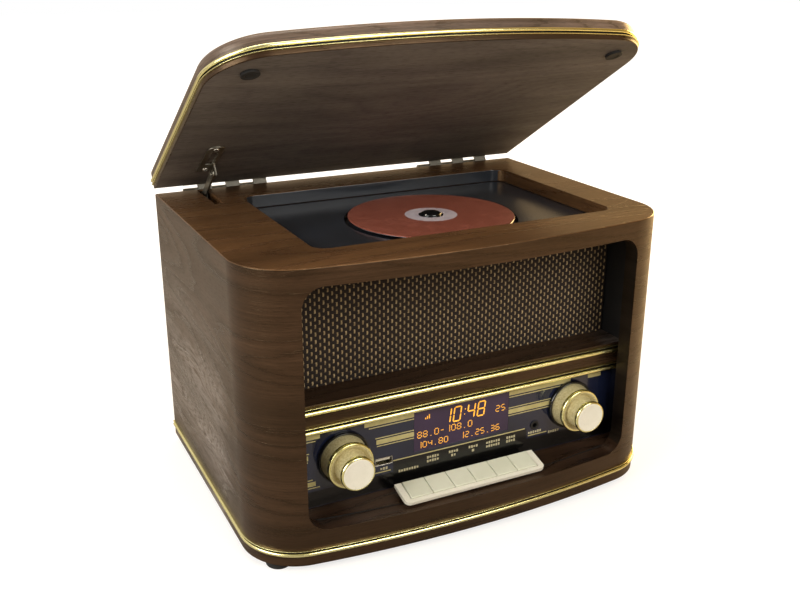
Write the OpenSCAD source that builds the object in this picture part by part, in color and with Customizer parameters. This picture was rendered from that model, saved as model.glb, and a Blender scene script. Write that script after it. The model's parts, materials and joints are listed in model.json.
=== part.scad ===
// Stereo music centre with a hinged lid, a disc player, a radio display, two knobs and six keys.
// Lengths are in millimetres and angles in degrees. Every module works from the cabinet's rear face
// (y = 0, the front is at negative y) and from the underside of the plinth (z = 0).

/* [Cabinet] */
// Width of the cabinet
cabinet_w = 310; // [300:1:380]
// Depth of the cabinet at the middle of its bowed front
cabinet_d = 226; // [222:1:280]
// Height from the underside of the plinth to the top board's surface
cabinet_h = 199; // [190:1:250]
// Radius of the two rounded front corners
corner_r = 40; // [25:1:45]
// Radius of the bowed front, seen from above
bow_r = 882; // [600:1:1500]
// Thickness of the cabinet's walls
wall_t = 12; // [10:0.5:14]
// Thickness of the top board
top_t = 10; // [9.5:0.5:12]
// Height of the top board's edge band, which rests on the walls
top_band_h = 4; // [3:0.5:6]

/* [Base] */
// Height of the wooden plinth
plinth_h = 7; // [5:0.5:12]
// Height of the gold trims
trim_h = 4.6; // [4:0.1:6]
// How far the gold trims stand proud of the wood
trim_proud = 1.3; // [0.8:0.1:2.5]
// Height of the rubber feet
foot_h = 5.5; // [4:0.5:10]
// Radius of the rubber feet
foot_r = 9; // [7:0.5:10]

/* [Lid] */
// Thickness of the lid
lid_t = 16; // [14:0.5:20]
// Gap between the closed lid and the top board
lid_gap = 2; // [1.5:0.1:3]
// Angle at which the stay holds the lid open
lid_open = 31; // [20:1:40]
// Height of the wood below the lid's gold trim
lid_lip_h = 3; // [2:0.5:4]
// Radius of the two pads under the lid
pad_r = 6; // [4:0.5:8]

/* [Hinges and stay] */
// Distance of each hinge's middle from the cabinet's centre line
hinge_x = 100; // [90:1:110]
// Length of each hinge
hinge_len = 66; // [54:1:72]
// Radius of the hinge barrels
barrel_r = 2.4; // [2:0.1:3]
// Distance of the hinge axis behind the cabinet's rear face
hinge_back = 3.6; // [3.4:0.1:4.5]
// Depth of the hinge axis below the top board's surface
hinge_drop = 1.5; // [1:0.1:2]
// Distance of the stay arm from the centre line
stay_x = 120; // [112:1:122]
// Distance of the stay's pivot in front of the rear face
stay_pivot_y = 6; // [5.5:0.5:8]
// Distance of the stay's guide pin from the hinge axis
stay_reach = 42; // [38:1:50]

/* [Front opening] */
// Wood left beside the front opening, on each side
opening_side = 32.5; // [30:0.5:50]
// Height of the opening's bottom edge
opening_low = 24; // [22:0.5:30]
// Wood left above the opening
opening_top = 12; // [12:0.5:30]
// Corner radius of the opening
opening_r = 14; // [6:0.5:20]
// Wall thickness of the cheeks inside the opening
cheek_t = 3; // [2:0.5:4]
// How much further out than the opening the cheeks stand
cheek_out = 8.5; // [4:0.5:9]
// Depth of the speaker cloth behind the front
cloth_set = 50; // [46:1:56]
// Depth of the fascia rail behind the front
rail_set = 26; // [24:0.5:30]
// Depth of the control panel behind the front
panel_set = 30.5; // [29:0.5:34]
// Height of the fascia rail's top surface
rail_top = 103; // [100:1:110]
// Height of the fascia rail's lower edge
rail_low = 82.5; // [80:0.5:84]
// Height of each gold bar on the rail
bar_h = 5.5; // [4:0.5:6]

/* [Controls] */
// Distance of each knob's axis from the side of the opening
knob_inset = 33; // [30:0.5:45]
// Height of the knob axes
knob_z = 59.5; // [57:0.5:62]
// Radius of the knobs at their gold ring
knob_r = 16.1; // [12:0.1:17]
// Radius of the knobs' raised middle
cap_r = 11.8; // [9:0.1:12.5]
// How far the knobs stand out from the panel
knob_out = 26; // [22:0.5:30]
// Radius of the knob shafts
shaft_r = 3; // [2.5:0.1:3.5]
// Width of the display window
window_w = 75; // [60:1:80]
// Height of the display window
window_h = 30; // [24:1:32]
// Distance of the two sockets from the centre line
socket_x = 60; // [56:0.5:62]
// Radius of the headphone socket's hole
jack_r = 1.8; // [1.75:0.05:2]
// Pitch of the six keys
key_pitch = 16.6; // [14:0.1:17]
// Slope of the key frame
key_slope = 14; // [8:1:18]
// Travel of a key
key_travel = 1.2; // [0.6:0.1:1.4]

/* [Disc player] */
// Diameter of the disc
disc_d = 120; // [120]
// Distance of the disc's centre to the right of the centre line
disc_x = 15.5; // [10:0.5:20]
// Distance of the disc's centre in front of the rear face
disc_y = 117; // [112:0.5:122]
// Depth of the disc's upper face below the top board's surface
disc_drop = 7.5; // [7:0.1:8]
// Wood between the well and the left side
well_left = 55; // [50:1:60]
// Wood between the well and the right side
well_right = 31; // [28:1:40]
// Wood between the well and the front, at the middle
well_front = 40.4; // [40:0.2:48]
// Wood between the well and the rear
well_rear = 36; // [34:1:42]
// Corner radius of the well
well_r = 10; // [4:1:20]
// Travel of the laser sled
sled_travel = 34; // [20:1:34]

/* [Speakers] */
// Radius of the speakers' mounting flange
speaker_r = 37; // [30:0.5:38]
// Distance of each speaker from the side of the opening
speaker_inset = 38.5; // [38:0.5:45]
// Height of the speakers' axes
speaker_z = 143; // [140:1:146]

/* [Hidden] */

$fn = 64;
eps = 0.01;
fit = 0.05; // radial clearance of a shaft in its bore
gap = 0.3; // clearance between separate pieces that move past each other
big_fn = 720; // facets of the bowed front in previews

wood = "#4a2f22";
dark = "#1b1a1c";
gold = "#d8c35a";
ivory = "#e0d6b4";
steel = "#8c8c86";
plastic_black = "#151517";
board_green = "#1f5a3a";

half_w = cabinet_w / 2;
bow_y = bow_r - cabinet_d; // centre of the bow
corner_x = half_w - corner_r;
corner_y = bow_y - sqrt(pow(bow_r - corner_r, 2) - pow(corner_x, 2));
front_y = -cabinet_d;
trim_z = plinth_h; // underside of the base trim
wall_z = plinth_h + trim_h; // underside of the walls
wall_top = cabinet_h - top_band_h;

hinge_z = cabinet_h - hinge_drop;
lid_z = cabinet_h + lid_gap; // underside of the closed lid
rib_proud = 0.4; // groove between a trim's two ridges
trim_seat = 6; // how far a trim reaches into the wood

opening_half = half_w - opening_side;
opening_high = cabinet_h - opening_top;
cheek_x = opening_half + cheek_out; // inner face of the cheeks
front_in = front_y + wall_t;
cloth_y = front_y + cloth_set;
rail_y = front_y + rail_set;
panel_y = front_y + panel_set;
panel_t = 2;
rail_t = 7;
rail_board_t = 6;
cloth_t = 4;
baffle_t = 6;
baffle_y = cloth_y + cloth_t;
deck_z = cabinet_h - top_t; // underside of the top board, upper face of the deck
deck_t = 2.5;
ceiling_z = deck_z - deck_t;
floor_rear_z = opening_low + 3; // the recess floor rises towards the panel
floor_t = 4;

knob_x = opening_half - knob_inset;
ring_r = knob_r + 2.1;
ring_h = 3;
window_z = 65;
socket_z = 48.7;
encoder_size = 14;

disc_r = disc_d / 2;
disc_t = 1.2;
disc_hole_r = 7.5;
disc_z = cabinet_h - disc_drop - disc_t; // underside of the disc
dish_r = disc_r + 2.5; // round recess in the deck
dish_drop = 2.6;
hub_r = 14.5;
well_x0 = -half_w + well_left;
well_x1 = half_w - well_right;
well_y0 = front_y + well_front;
well_y1 = -well_rear;
frame_z = cabinet_h - 22; // underside of the drive frame's plate
frame_t = 2;
rod_r = 1.5;
rod_gap = 14; // distance of each sled rod from the sled's middle
rod_z = frame_z - 4;
sled_start = 24; // lens distance from the spindle at rest
sled_half_l = 8;
pinion_r = 5.5;
pinion_x = rod_gap + 15;

speaker_x = opening_half - speaker_inset;

// Key frame: its own axes are across (x), up the slope (y) and out of it (z).
key_count = 6;
key_mid_y = front_y + 16.5;
key_mid_z = opening_low + 6.4;
key_front = -7.2;
key_rear = 8.3;
frame_front = -10.5;
frame_rear = 8.8;
frame_edge = 5; // ivory left beside the outer keys
key_up = 1; // keys stand this far above the frame

screw_r = 1.4;
screw_head_r = 2.6;
leaf_t = 1.2;
leaf_h = 13;
knuckles = 6;
knuckle_l = hinge_len / knuckles;
pin_r = 1.1;

stay_t = 1.5;
stay_pin_r = 1.2;
stay_drop = 3.8; // stay pivot below the top board's surface
stay_slot_half = 1.7;
stay_z = cabinet_h - stay_drop;
pocket_w = 6.4;
pocket_d = 7.8;

// Middle of the whole object with its lid open, front to rear, so that the origin is below it.
lid_back_y = hinge_back - hinge_back * cos(lid_open)
    + (lid_gap + lid_t + hinge_drop) * sin(lid_open);
origin_y = (front_y - trim_proud + lid_back_y) / 2;

// ---------- helpers ----------

// Puts the cabinet's own axes at the origin: middle of the object, underside of the feet.
module placed() {
    translate([0, -origin_y, foot_h]) children();
}

// Outline of the cabinet from above, grown outwards by a distance.
module plan(grow = 0, rear = 0) {
    r = corner_r + grow;
    w = half_w + grow;
    reach = r + 12;
    lean = corner_x / (bow_y - corner_y); // slope of the line to the bow's centre
    difference() {
        intersection() {
            translate([0, bow_y]) circle(r = bow_r + grow, $fn = big_fn);
            translate([-w, front_y - grow - 1]) square([2 * w, cabinet_d + grow + 1 + rear]);
        }
        for (s = [-1, 1]) {
            polygon([
                [s * corner_x, corner_y],
                [s * (corner_x + reach), corner_y],
                [s * (corner_x + reach), corner_y - reach],
                [s * (corner_x + lean * reach), corner_y - reach]
            ]);
        }
    }
    for (s = [-1, 1]) {
        translate([s * corner_x, corner_y]) circle(r = r, $fn = 96);
    }
}

// Solid between two heights with the cabinet's outline.
module slab(z0, z1, grow = 0, rear = 0) {
    translate([0, 0, z0]) linear_extrude(z1 - z0) plan(grow, rear);
}

// Flat ring along the outline, open at the rear.
module band(z0, z1, outer, inner) {
    difference() {
        slab(z0, z1, outer);
        translate([0, 0, -1]) slab(z0, z1 + 2, inner, 1);
    }
}

// Double-ridge trim: two ridges with a groove between them, its inner edge in the wood.
module trim_band(z0) {
    ridge = trim_h * 0.42;
    band(z0, z0 + ridge, trim_proud, -trim_seat);
    band(z0 + ridge, z0 + trim_h - ridge, rib_proud, -trim_seat);
    band(z0 + trim_h - ridge, z0 + trim_h, trim_proud, -trim_seat);
}

// Rectangle with round corners, centred.
module round_rect(w, h, r) {
    square([w - 2 * r, h], center = true);
    square([w, h - 2 * r], center = true);
    for (sx = [-1, 1], sy = [-1, 1]) {
        translate([sx * (w / 2 - r), sy * (h / 2 - r)]) circle(r = r, $fn = 48);
    }
}

// Box given by its two corners.
module block(low, high) {
    translate(low) cube(high - low);
}

// Cylinder along y, from one y to another.
module rod_y(x, z, y0, y1, r, fn = 64) {
    translate([x, y1, z]) rotate([90, 0, 0]) cylinder(r = r, h = y1 - y0, $fn = fn);
}

// Cylinder along x, from one x to another.
module rod_x(y, z, x0, x1, r, fn = 48) {
    translate([x0, y, z]) rotate([0, 90, 0]) cylinder(r = r, h = x1 - x0, $fn = fn);
}

// Turns what is modelled closed into the open lid.
module lid_open_pose() {
    translate([0, hinge_back, hinge_z])
        rotate([-lid_open, 0, 0])
            translate([0, -hinge_back, -hinge_z]) children();
}

// The key frame's own axes.
module key_axes() {
    translate([0, key_mid_y, key_mid_z]) rotate([key_slope, 0, 0]) children();
}

// Profile turned about a line along y; its own z axis points to the front from the given y.
module turned(x, z, y) {
    translate([x, y, z]) rotate([90, 0, 0]) rotate_extrude($fn = 96) children();
}

// ---------- cabinet ----------

module cabinet_shell() {
    color(wood) difference() {
        slab(wall_z, wall_top);
        translate([0, 0, -1]) slab(wall_z, wall_top + 2, -wall_t, 1);
        // front opening
        translate([0, front_y + wall_t * 3, (opening_low + opening_high) / 2])
            rotate([90, 0, 0])
                linear_extrude(wall_t * 4)
                    round_rect(2 * opening_half, opening_high - opening_low, opening_r);
        // rebate for the back panel
        block([-half_w + back_edge, -back_set, wall_z - 1], [half_w - back_edge, 1, wall_top + 1]);
        for (p = panel_screws) {
            rod_y(p[0], p[1], -back_set - screw_l, 0, screw_r);
        }
    }
}

back_edge = 5; // wood beside the back panel
back_set = 5; // depth of the back panel's rebate
back_t = 3;
sill_h = 2.4; // height of the base board inside the walls
back_low = wall_z + sill_h;
back_high = deck_z - 0.4;

module top_board() {
    color(wood) difference() {
        union() {
            slab(wall_top, cabinet_h);
            slab(deck_z, wall_top, -wall_t - fit);
        }
        // disc well
        translate([(well_x0 + well_x1) / 2, (well_y0 + well_y1) / 2, deck_z - 1])
            linear_extrude(top_t + 2)
                round_rect(well_x1 - well_x0, well_y1 - well_y0, well_r);
        // pocket for the stay
        block([-stay_x - pocket_w / 2, -stay_reach - 6, cabinet_h - pocket_d],
            [-stay_x + pocket_w / 2, -stay_pivot_y + arm_w / 2 + 1, cabinet_h + 1]);
        leaf_screw_holes(leaf_screw_z);
    }
}

module base_board() {
    color(wood) difference() {
        union() {
            slab(0, plinth_h);
            slab(plinth_h, wall_z, -trim_seat - fit);
            slab(wall_z, wall_z + sill_h, -wall_t - fit);
        }
        for (x = foot_places) {
            translate([x[0], x[1], -1]) cylinder(r = foot_pin_r + fit, h = plinth_h + 2);
        }
    }
}

foot_pin_r = 3;
foot_front = [corner_x + 22, corner_y - 20];
foot_rear_y = -22;
foot_places = [
    [foot_front[0], foot_front[1]], [-foot_front[0], foot_front[1]],
    [foot_front[0], foot_rear_y], [-foot_front[0], foot_rear_y]
];

module base_trim() {
    color(gold) trim_band(trim_z);
}

module feet() {
    color(dark) for (p = foot_places) {
        translate([p[0], p[1], 0]) rotate_extrude() polygon([
            [0, -foot_h], [foot_r - 1.2, -foot_h], [foot_r, -foot_h + 1.2], [foot_r, 0],
            [foot_pin_r, 0], [foot_pin_r, plinth_h - 1], [0, plinth_h - 1]
        ]);
    }
}

panel_screws = [
    for (sx = [-1, 1], z = [back_low + 8, back_high - 22]) [sx * (half_w - back_edge - 3.6), z]
];
screw_l = 9;

module back_panel() {
    color(dark) difference() {
        block([-half_w + back_edge + gap, -back_set, back_low],
            [half_w - back_edge - gap, -back_set + back_t, back_high]);
        for (p = panel_screws) {
            rod_y(p[0], p[1], -back_set - 1, 0, screw_r + fit);
        }
        // louvres
        for (row = [0:6], col = [-1, 0, 1]) {
            block([col * 34 - 12, -back_set - 1, 100 + row * 8], [col * 34 + 12, 0, 103 + row * 8]);
        }
        block([inlet_x - inlet_w / 2 - fit, -back_set - 1, inlet_z - inlet_h / 2 - fit],
            [inlet_x + inlet_w / 2 + fit, 0, inlet_z + inlet_h / 2 + fit]);
        rod_y(aerial_x, inlet_z, -back_set - 1, 0, 5 + fit);
    }
}

inlet_x = 96;
inlet_z = 38;
inlet_w = 21;
inlet_h = 13;
aerial_x = -96;

module rear_screws() {
    color(steel) {
        for (p = panel_screws) {
            rod_y(p[0], p[1], -back_set - screw_l + back_t, -back_set + back_t + 1, screw_r);
            rod_y(p[0], p[1], -back_set + back_t, -back_set + back_t + 1.6, screw_head_r + 0.2);
        }
        for (x = leaf_screws) {
            leaf_screw(x, leaf_screw_z);
        }
    }
}

module mains_inlet() {
    color(plastic_black) difference() {
        union() {
            block([inlet_x - inlet_w / 2, -back_set - 9, inlet_z - inlet_h / 2],
                [inlet_x + inlet_w / 2, -back_set + back_t, inlet_z + inlet_h / 2]);
            block([inlet_x - inlet_w / 2 - 2, -back_set + back_t, inlet_z - inlet_h / 2 - 2],
                [inlet_x + inlet_w / 2 + 2, -back_set + back_t + 1.5, inlet_z + inlet_h / 2 + 2]);
        }
        // figure-of-eight cavity
        for (s = [-1, 1]) {
            rod_y(inlet_x + s * 4.2, inlet_z, -back_set - 7, 0, 4.4);
        }
        block([inlet_x - 4.2, -back_set - 7, inlet_z - 3.2], [inlet_x + 4.2, 0, inlet_z + 3.2]);
    }
    color(steel) for (s = [-1, 1]) {
        rod_y(inlet_x + s * 4.2, inlet_z, -back_set - 8, -back_set - 0.5, 1.2);
    }
}

module aerial_socket() {
    color(steel) difference() {
        union() {
            rod_y(aerial_x, inlet_z, -back_set - 7, -back_set + back_t + 1, 5);
            rod_y(aerial_x, inlet_z, -back_set + back_t, -back_set + back_t + 1, 7);
        }
        rod_y(aerial_x, inlet_z, -back_set - 5, 0, 3.6);
    }
    color(gold) rod_y(aerial_x, inlet_z, -back_set - 6, -back_set + 1, 0.9);
}

// ---------- disc player ----------

module disc_deck() {
    color(plastic_black) difference() {
        union() {
            block([well_x0 - 4, well_y0 - 4, ceiling_z], [well_x1 + 4, well_y1 + 4, deck_z]);
            translate([disc_x, -disc_y, deck_z - dish_drop - deck_t])
                cylinder(r = dish_r + deck_t, h = deck_t + 0.5, $fn = 128);
        }
        translate([disc_x, -disc_y, deck_z - dish_drop])
            cylinder(r = dish_r, h = dish_drop + 1, $fn = 128);
        translate([disc_x, -disc_y, deck_z - 20]) cylinder(r = hub_r + 1.5, h = 30);
        // slot for the lens
        block([disc_x - 8, -disc_y + hub_r, deck_z - 20],
            [disc_x + 8, -disc_y + sled_start + sled_travel + 7, deck_z + 1]);
    }
}

frame_x0 = disc_x - 33;
frame_x1 = disc_x + pinion_x + 12;
frame_y0 = -disc_y - 28;
frame_y1 = -disc_y + sled_start + sled_travel + 18;
sled_win_x = rod_gap + 5;

module drive_frame() {
    color(plastic_black) difference() {
        union() {
            block([frame_x0, frame_y0, frame_z], [frame_x1, frame_y1, frame_z + frame_t]);
            // posts up to the deck: the front pair meets the underside of its round recess
            for (x = [frame_x0 + 4, disc_x + 26]) {
                translate([x, frame_y0 + 4, frame_z + frame_t - eps])
                    cylinder(r = 3.5, h = dish_z - frame_z - frame_t + eps);
                translate([x, frame_y1 - 4, frame_z + frame_t - eps])
                    cylinder(r = 3.5, h = ceiling_z - frame_z - frame_t + eps);
            }
            // blocks that carry the rods
            for (y = [rod_y0, frame_y1 - 5]) {
                block([disc_x - sled_win_x, y, frame_z - 7], [disc_x + sled_win_x, y + 4, frame_z + eps]);
            }
            // wall that carries the sled's motor
            block([disc_x + pinion_x + motor_wall, pinion_y - 6, frame_z - motor_drop + 1],
                [disc_x + pinion_x + motor_wall + 2, pinion_y + 6, frame_z + eps]);
        }
        translate([disc_x, -disc_y, frame_z - 1]) cylinder(r = 3, h = frame_t + 2);
        block([disc_x - sled_win_x, rod_y0 + 4, frame_z - 1],
            [disc_x + sled_win_x, frame_y1 - 5, frame_z + frame_t + 1]);
        for (s = [-1, 1]) {
            rod_y(disc_x + s * rod_gap, rod_z, frame_y0, frame_y1 - 2, rod_r, 32);
        }
    }
}

pinion_y = -disc_y + sled_start + sled_travel / 2;
rod_y0 = -disc_y + sled_start - sled_half_l - 5.5; // front end of the rods
dish_z = deck_z - dish_drop - deck_t; // underside of the deck's round recess
motor_drop = 6; // the sled motor's flange hangs this far below the plate
motor_wall = 6.5; // distance of the flange's wall from the pinion's axis

// The spindle motor sits under the frame's plate, the sled's motor hangs from a wall beside its pinion.
module drive_motors() {
    color(steel) {
        difference() {
            translate([disc_x, -disc_y, frame_z - 14]) cylinder(r = 10, h = 14);
            translate([disc_x, -disc_y, frame_z - 12]) cylinder(r = 1 + fit, h = 14);
        }
        translate([disc_x + pinion_x, pinion_y, frame_z - motor_drop]) difference() {
            union() {
                translate([0, 0, -12]) cylinder(r = 6, h = 12);
                block([-6, -6, 0], [motor_wall + 2, 6, 1]);
            }
            translate([0, 0, -8]) cylinder(r = 1 + fit, h = 12);
        }
    }
}

module sled_rods() {
    color("#b8bcc0") for (s = [-1, 1]) {
        rod_y(disc_x + s * rod_gap, rod_z, rod_y0, frame_y1 - 2, rod_r, 32);
    }
}

module disc() {
    color("#7a2f22") translate([disc_x, -disc_y, disc_z]) difference() {
        cylinder(r = disc_r, h = disc_t, $fn = 180);
        translate([0, 0, -1]) cylinder(r = disc_hole_r, h = disc_t + 2, $fn = 64);
    }
}

module spindle_hub() {
    seat = disc_z;
    top = disc_z + disc_t + 3;
    color(plastic_black) translate([disc_x, -disc_y, 0]) rotate_extrude($fn = 96) polygon([
        [0, frame_z - 10], [1, frame_z - 10], [1, seat - 3.5], [6, seat - 3.5], [6, seat - 2],
        [hub_r, seat - 2], [hub_r, seat], [disc_hole_r - 0.1, seat],
        [disc_hole_r - 0.1, seat + disc_t + 0.6],
        for (a = [0:15:75]) [(disc_hole_r - 0.5) * cos(a), seat + disc_t + 0.9 + 2.1 * sin(a)],
        [0, top]
    ]);
}

module laser_sled() {
    y = -disc_y + sled_start;
    color(plastic_black) difference() {
        union() {
            block([disc_x - rod_gap - 4, y - sled_half_l, frame_z - 7],
                [disc_x + rod_gap + 4, y + sled_half_l, frame_z - 1]);
            block([disc_x - 7, y - 8, frame_z - 1 - eps], [disc_x + 7, y + 8, frame_z + 3.5]);
            // rack strip beside the pinion
            block([disc_x + rod_gap + 4 - eps, y - sled_half_l, frame_z - 3],
                [disc_x + pinion_x - pinion_r - 2 * gap, y + sled_half_l, frame_z - 1]);
        }
        for (s = [-1, 1]) {
            rod_y(disc_x + s * rod_gap, rod_z, y - 30, y + 30, rod_r + fit, 32);
        }
    }
    color("#8fb0d8") translate([disc_x, y, frame_z + 3.5 - eps]) {
        cylinder(r = 4.5, h = 1.2);
        cylinder(r = 2.4, h = 1.8);
    }
}

module sled_pinion() {
    teeth = 12;
    root_r = pinion_r - 1.2;
    color(ivory) translate([disc_x + pinion_x, pinion_y, 0]) {
        translate([0, 0, frame_z - 4]) linear_extrude(3) {
            circle(r = root_r);
            for (i = [0:teeth - 1]) {
                rotate(i * 360 / teeth) polygon([
                    [root_r - 0.5, -0.9], [pinion_r, -0.45], [pinion_r, 0.45], [root_r - 0.5, 0.9]
                ]);
            }
        }
        translate([0, 0, frame_z - motor_drop - 7.5]) cylinder(r = 1, h = motor_drop + 4.5);
    }
}

// ---------- speakers ----------

module speaker_baffle() {
    color(dark) difference() {
        block([-cheek_x, baffle_y, rail_top - rail_board_t - 20], [cheek_x, baffle_y + baffle_t, ceiling_z]);
        for (s = [-1, 1]) {
            rod_y(s * speaker_x, speaker_z, baffle_y - 1, baffle_y + baffle_t + 1, speaker_r - 5, 96);
        }
        dish_notch();
    }
}

module speaker_cloth() {
    color("#2b211c") difference() {
        block([-cheek_x + 0.2, cloth_y, rail_top], [cheek_x - 0.2, baffle_y, ceiling_z]);
        dish_notch();
    }
}

// Room for the underside of the deck's round recess.
module dish_notch() {
    translate([disc_x, -disc_y, dish_z - 0.2])
        cylinder(r = dish_r + deck_t + 0.2, h = dish_drop + deck_t, $fn = 128);
}

module speaker(x) {
    y = baffle_y + baffle_t;
    // basket and magnet as one turned piece, its own z axis pointing to the rear
    translate([x, y, speaker_z]) rotate([-90, 0, 0]) rotate_extrude($fn = 96) polygon([
        [speaker_r, 0], [speaker_r, 1.5], [speaker_r - 6, 1.5], [20, 15], [20, 16],
        [21, 16], [21, 30], [0, 30], [0, 20], [8.4, 20], [8.4, 14], [18, 14], [speaker_r - 8, 0]
    ]);
}

module speaker_left() {
    color(steel) speaker(-speaker_x);
}

module speaker_right() {
    color(steel) speaker(speaker_x);
}

// Paper cones with their dust caps, inside the baskets.
module speaker_cones() {
    color("#3a3836") for (s = [-1, 1]) {
        translate([s * speaker_x, baffle_y + baffle_t, speaker_z]) rotate([-90, 0, 0])
            rotate_extrude($fn = 96) polygon([
                [speaker_r - 8.2, 0], [17.8, 13.8], [7.8, 13.8], [7.8, 19], [0, 19],
                [0, 8], [7.8, 10], [15, 10], [speaker_r - 12, 0]
            ]);
    }
}

// ---------- front recess ----------

// Cheeks at both ends of the recess and its floor, in one black moulding.
module recess_liner() {
    color(dark) intersection() {
        slab(wall_z, deck_z, -wall_t - fit);
        difference() {
            union() {
                for (s = [-1, 1]) {
                    x = s > 0 ? cheek_x : -cheek_x - cheek_t;
                    block([x, front_y, floor_rear_z - floor_t - 2], [x + cheek_t, baffle_y + baffle_t, ceiling_z]);
                }
                translate([-cheek_x - eps, 0, 0]) rotate([90, 0, 90]) linear_extrude(2 * cheek_x + 2 * eps)
                    polygon([
                        [front_y, opening_low - floor_t], [front_in + 4, opening_low - floor_t],
                        [panel_y + panel_t, floor_rear_z - floor_t], [panel_y + panel_t, floor_rear_z],
                        [front_in - 2, opening_low], [front_y, opening_low]
                    ]);
            }
            key_axes() key_box(gap, -30, 30);
        }
    }
}

module fascia_rail() {
    color(wood) difference() {
        intersection() {
            slab(rail_low - 1, rail_top + 1, -wall_t - fit);
            rotate([90, 0, 90]) translate([0, 0, -cheek_x + fit]) linear_extrude(2 * (cheek_x - fit)) polygon([
                [rail_y, rail_low], [rail_y + rail_t, rail_low], [rail_y + rail_t, rail_top - rail_board_t],
                [baffle_y, rail_top - rail_board_t], [baffle_y, rail_top], [rail_y, rail_top]
            ]);
        }
        for (z = bar_places) {
            block([-cheek_x - 1, rail_y - 1, z], [cheek_x + 1, rail_y + 1, z + bar_h]);
        }
    }
}

bar_places = [rail_low, rail_top - 1.5 - bar_h];
bar_proud = 2;

module fascia_bars() {
    ridge = bar_h * 0.42;
    color(gold) intersection() {
        slab(rail_low - 1, rail_top + 1, -wall_t - gap);
        for (z = bar_places) {
            block([-cheek_x + 0.2, rail_y - 0.6, z], [cheek_x - 0.2, rail_y + 1, z + bar_h]);
            for (dz = [0, bar_h - ridge]) {
                block([-cheek_x + 0.2, rail_y - bar_proud, z + dz],
                    [cheek_x - 0.2, rail_y + 1, z + dz + ridge]);
            }
        }
    }
}

module control_panel() {
    color("#1c1e2e") difference() {
        block([-cheek_x + 0.2, panel_y, floor_rear_z], [cheek_x - 0.2, panel_y + panel_t, rail_low]);
        block([-window_w / 2, panel_y - 1, window_z - window_h / 2],
            [window_w / 2, panel_y + panel_t + 1, window_z + window_h / 2]);
        for (s = [-1, 1]) {
            rod_y(s * knob_x, knob_z, panel_y - 1, panel_y + panel_t + 1, shaft_r + 2);
        }
        block([-socket_x - 6.6, panel_y - 1, socket_z - 2.9],
            [-socket_x + 6.6, panel_y + panel_t + 1, socket_z + 2.9]);
        rod_y(socket_x, socket_z, panel_y - 1, panel_y + panel_t + 1, 3.4 + fit);
    }
}

module display_window() {
    color("#3a2c44") block([-window_w / 2 + fit, panel_y, window_z - window_h / 2 + fit],
        [window_w / 2 - fit, panel_y + panel_t - 0.5, window_z + window_h / 2 - fit]);
}

module display_module() {
    color("#30323a") difference() {
        block([-window_w / 2 - 4, panel_y + panel_t, window_z - window_h / 2 - 3],
            [window_w / 2 + 4, panel_y + panel_t + 6, window_z + window_h / 2 + 2]);
        block([-window_w / 2, panel_y + panel_t - 1, window_z - window_h / 2],
            [window_w / 2, panel_y + panel_t + 0.8, window_z + window_h / 2]);
    }
}

module knob_rings() {
    color(plastic_black) for (s = [-1, 1]) {
        turned(s * knob_x, knob_z, panel_y) polygon([
            [ring_r - 1.6, 0], [ring_r, 0], [ring_r, ring_h - 0.8], [ring_r - 0.6, ring_h],
            [ring_r - 1, ring_h], [ring_r - 1.6, ring_h - 0.6]
        ]);
    }
}

board_y = panel_y + panel_t + 9; // front face of the control board
board_t = 1.6;

module control_board() {
    color(board_green) difference() {
        block([-cheek_x + 4, board_y, floor_rear_z + 8], [cheek_x - 4, board_y + board_t, rail_low - 0.5]);
        for (s = [-1, 1]) {
            rod_y(s * knob_x, knob_z, board_y - 1, board_y + board_t + 1, 5);
        }
    }
    color(plastic_black) block([-30, board_y + board_t, 56], [-14, board_y + board_t + 2, 72]);
    color(plastic_black) for (x = [-4, 8, 20]) {
        block([x, board_y + board_t, 44], [x + 8, board_y + board_t + 3, 50]);
    }
    // stand-offs to the display module
    color(ivory) for (x = [-window_w / 2, window_w / 2]) {
        rod_y(x, window_z, panel_y + panel_t + 6, board_y, 2.5, 32);
    }
}

// Rotary encoders between the panel and the control board.
module encoders() {
    color(steel) for (s = [-1, 1]) {
        difference() {
            union() {
                block([s * knob_x - encoder_size / 2, panel_y + panel_t, knob_z - encoder_size / 2],
                    [s * knob_x + encoder_size / 2, board_y, knob_z + encoder_size / 2]);
                rod_y(s * knob_x, knob_z, panel_y - 1.5, panel_y + panel_t + 1, shaft_r + 1.9);
            }
            rod_y(s * knob_x, knob_z, panel_y - 3, board_y + 1, shaft_r + fit);
        }
    }
}

// Solid of revolution for a knob: skirt, hollow face and raised middle.
module knob_body(x) {
    face = knob_out - 14.5; // where the skirt ends
    turned(x, knob_z, panel_y) polygon([
        [shaft_r, 3.2], [14.5, 3.2], [14.5, 1.2], [ring_r - 1.9, 1.2], [knob_r - 0.2, ring_h + 1],
        [knob_r - 0.7, face], [knob_r - 0.7, face + 3], [knob_r - 2.4, face + 3],
        [cap_r - 0.6, face + 0.5], [cap_r - 0.9, knob_out - 3.2], [cap_r - 0.9, knob_out - 0.6],
        [cap_r - 1.6, knob_out], [0, knob_out], [0, knob_out - 7], [shaft_r, knob_out - 7]
    ]);
}

// The two gold rings of a knob: one at the skirt's end, one round the raised middle.
module knob_gold(x) {
    face = knob_out - 14.5;
    turned(x, knob_z, panel_y) {
        polygon([
            [knob_r - 0.7, face], [knob_r - 0.2, face], [knob_r, face + 0.8], [knob_r, face + 2],
            [knob_r - 0.5, face + 3], [knob_r - 0.7, face + 3]
        ]);
        polygon([
            [cap_r - 0.9, knob_out - 3.2], [cap_r - 0.2, knob_out - 3.2], [cap_r, knob_out - 2.6],
            [cap_r, knob_out - 1.4], [cap_r - 0.5, knob_out - 0.6], [cap_r - 0.9, knob_out - 0.6]
        ]);
    }
}

module shaft(x, y1) {
    rod_y(x, knob_z, panel_y - knob_out + 7, y1, shaft_r);
}

module volume_knob() {
    color(ivory) knob_body(-knob_x);
}

module volume_rings() {
    color(gold) knob_gold(-knob_x);
}

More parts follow.
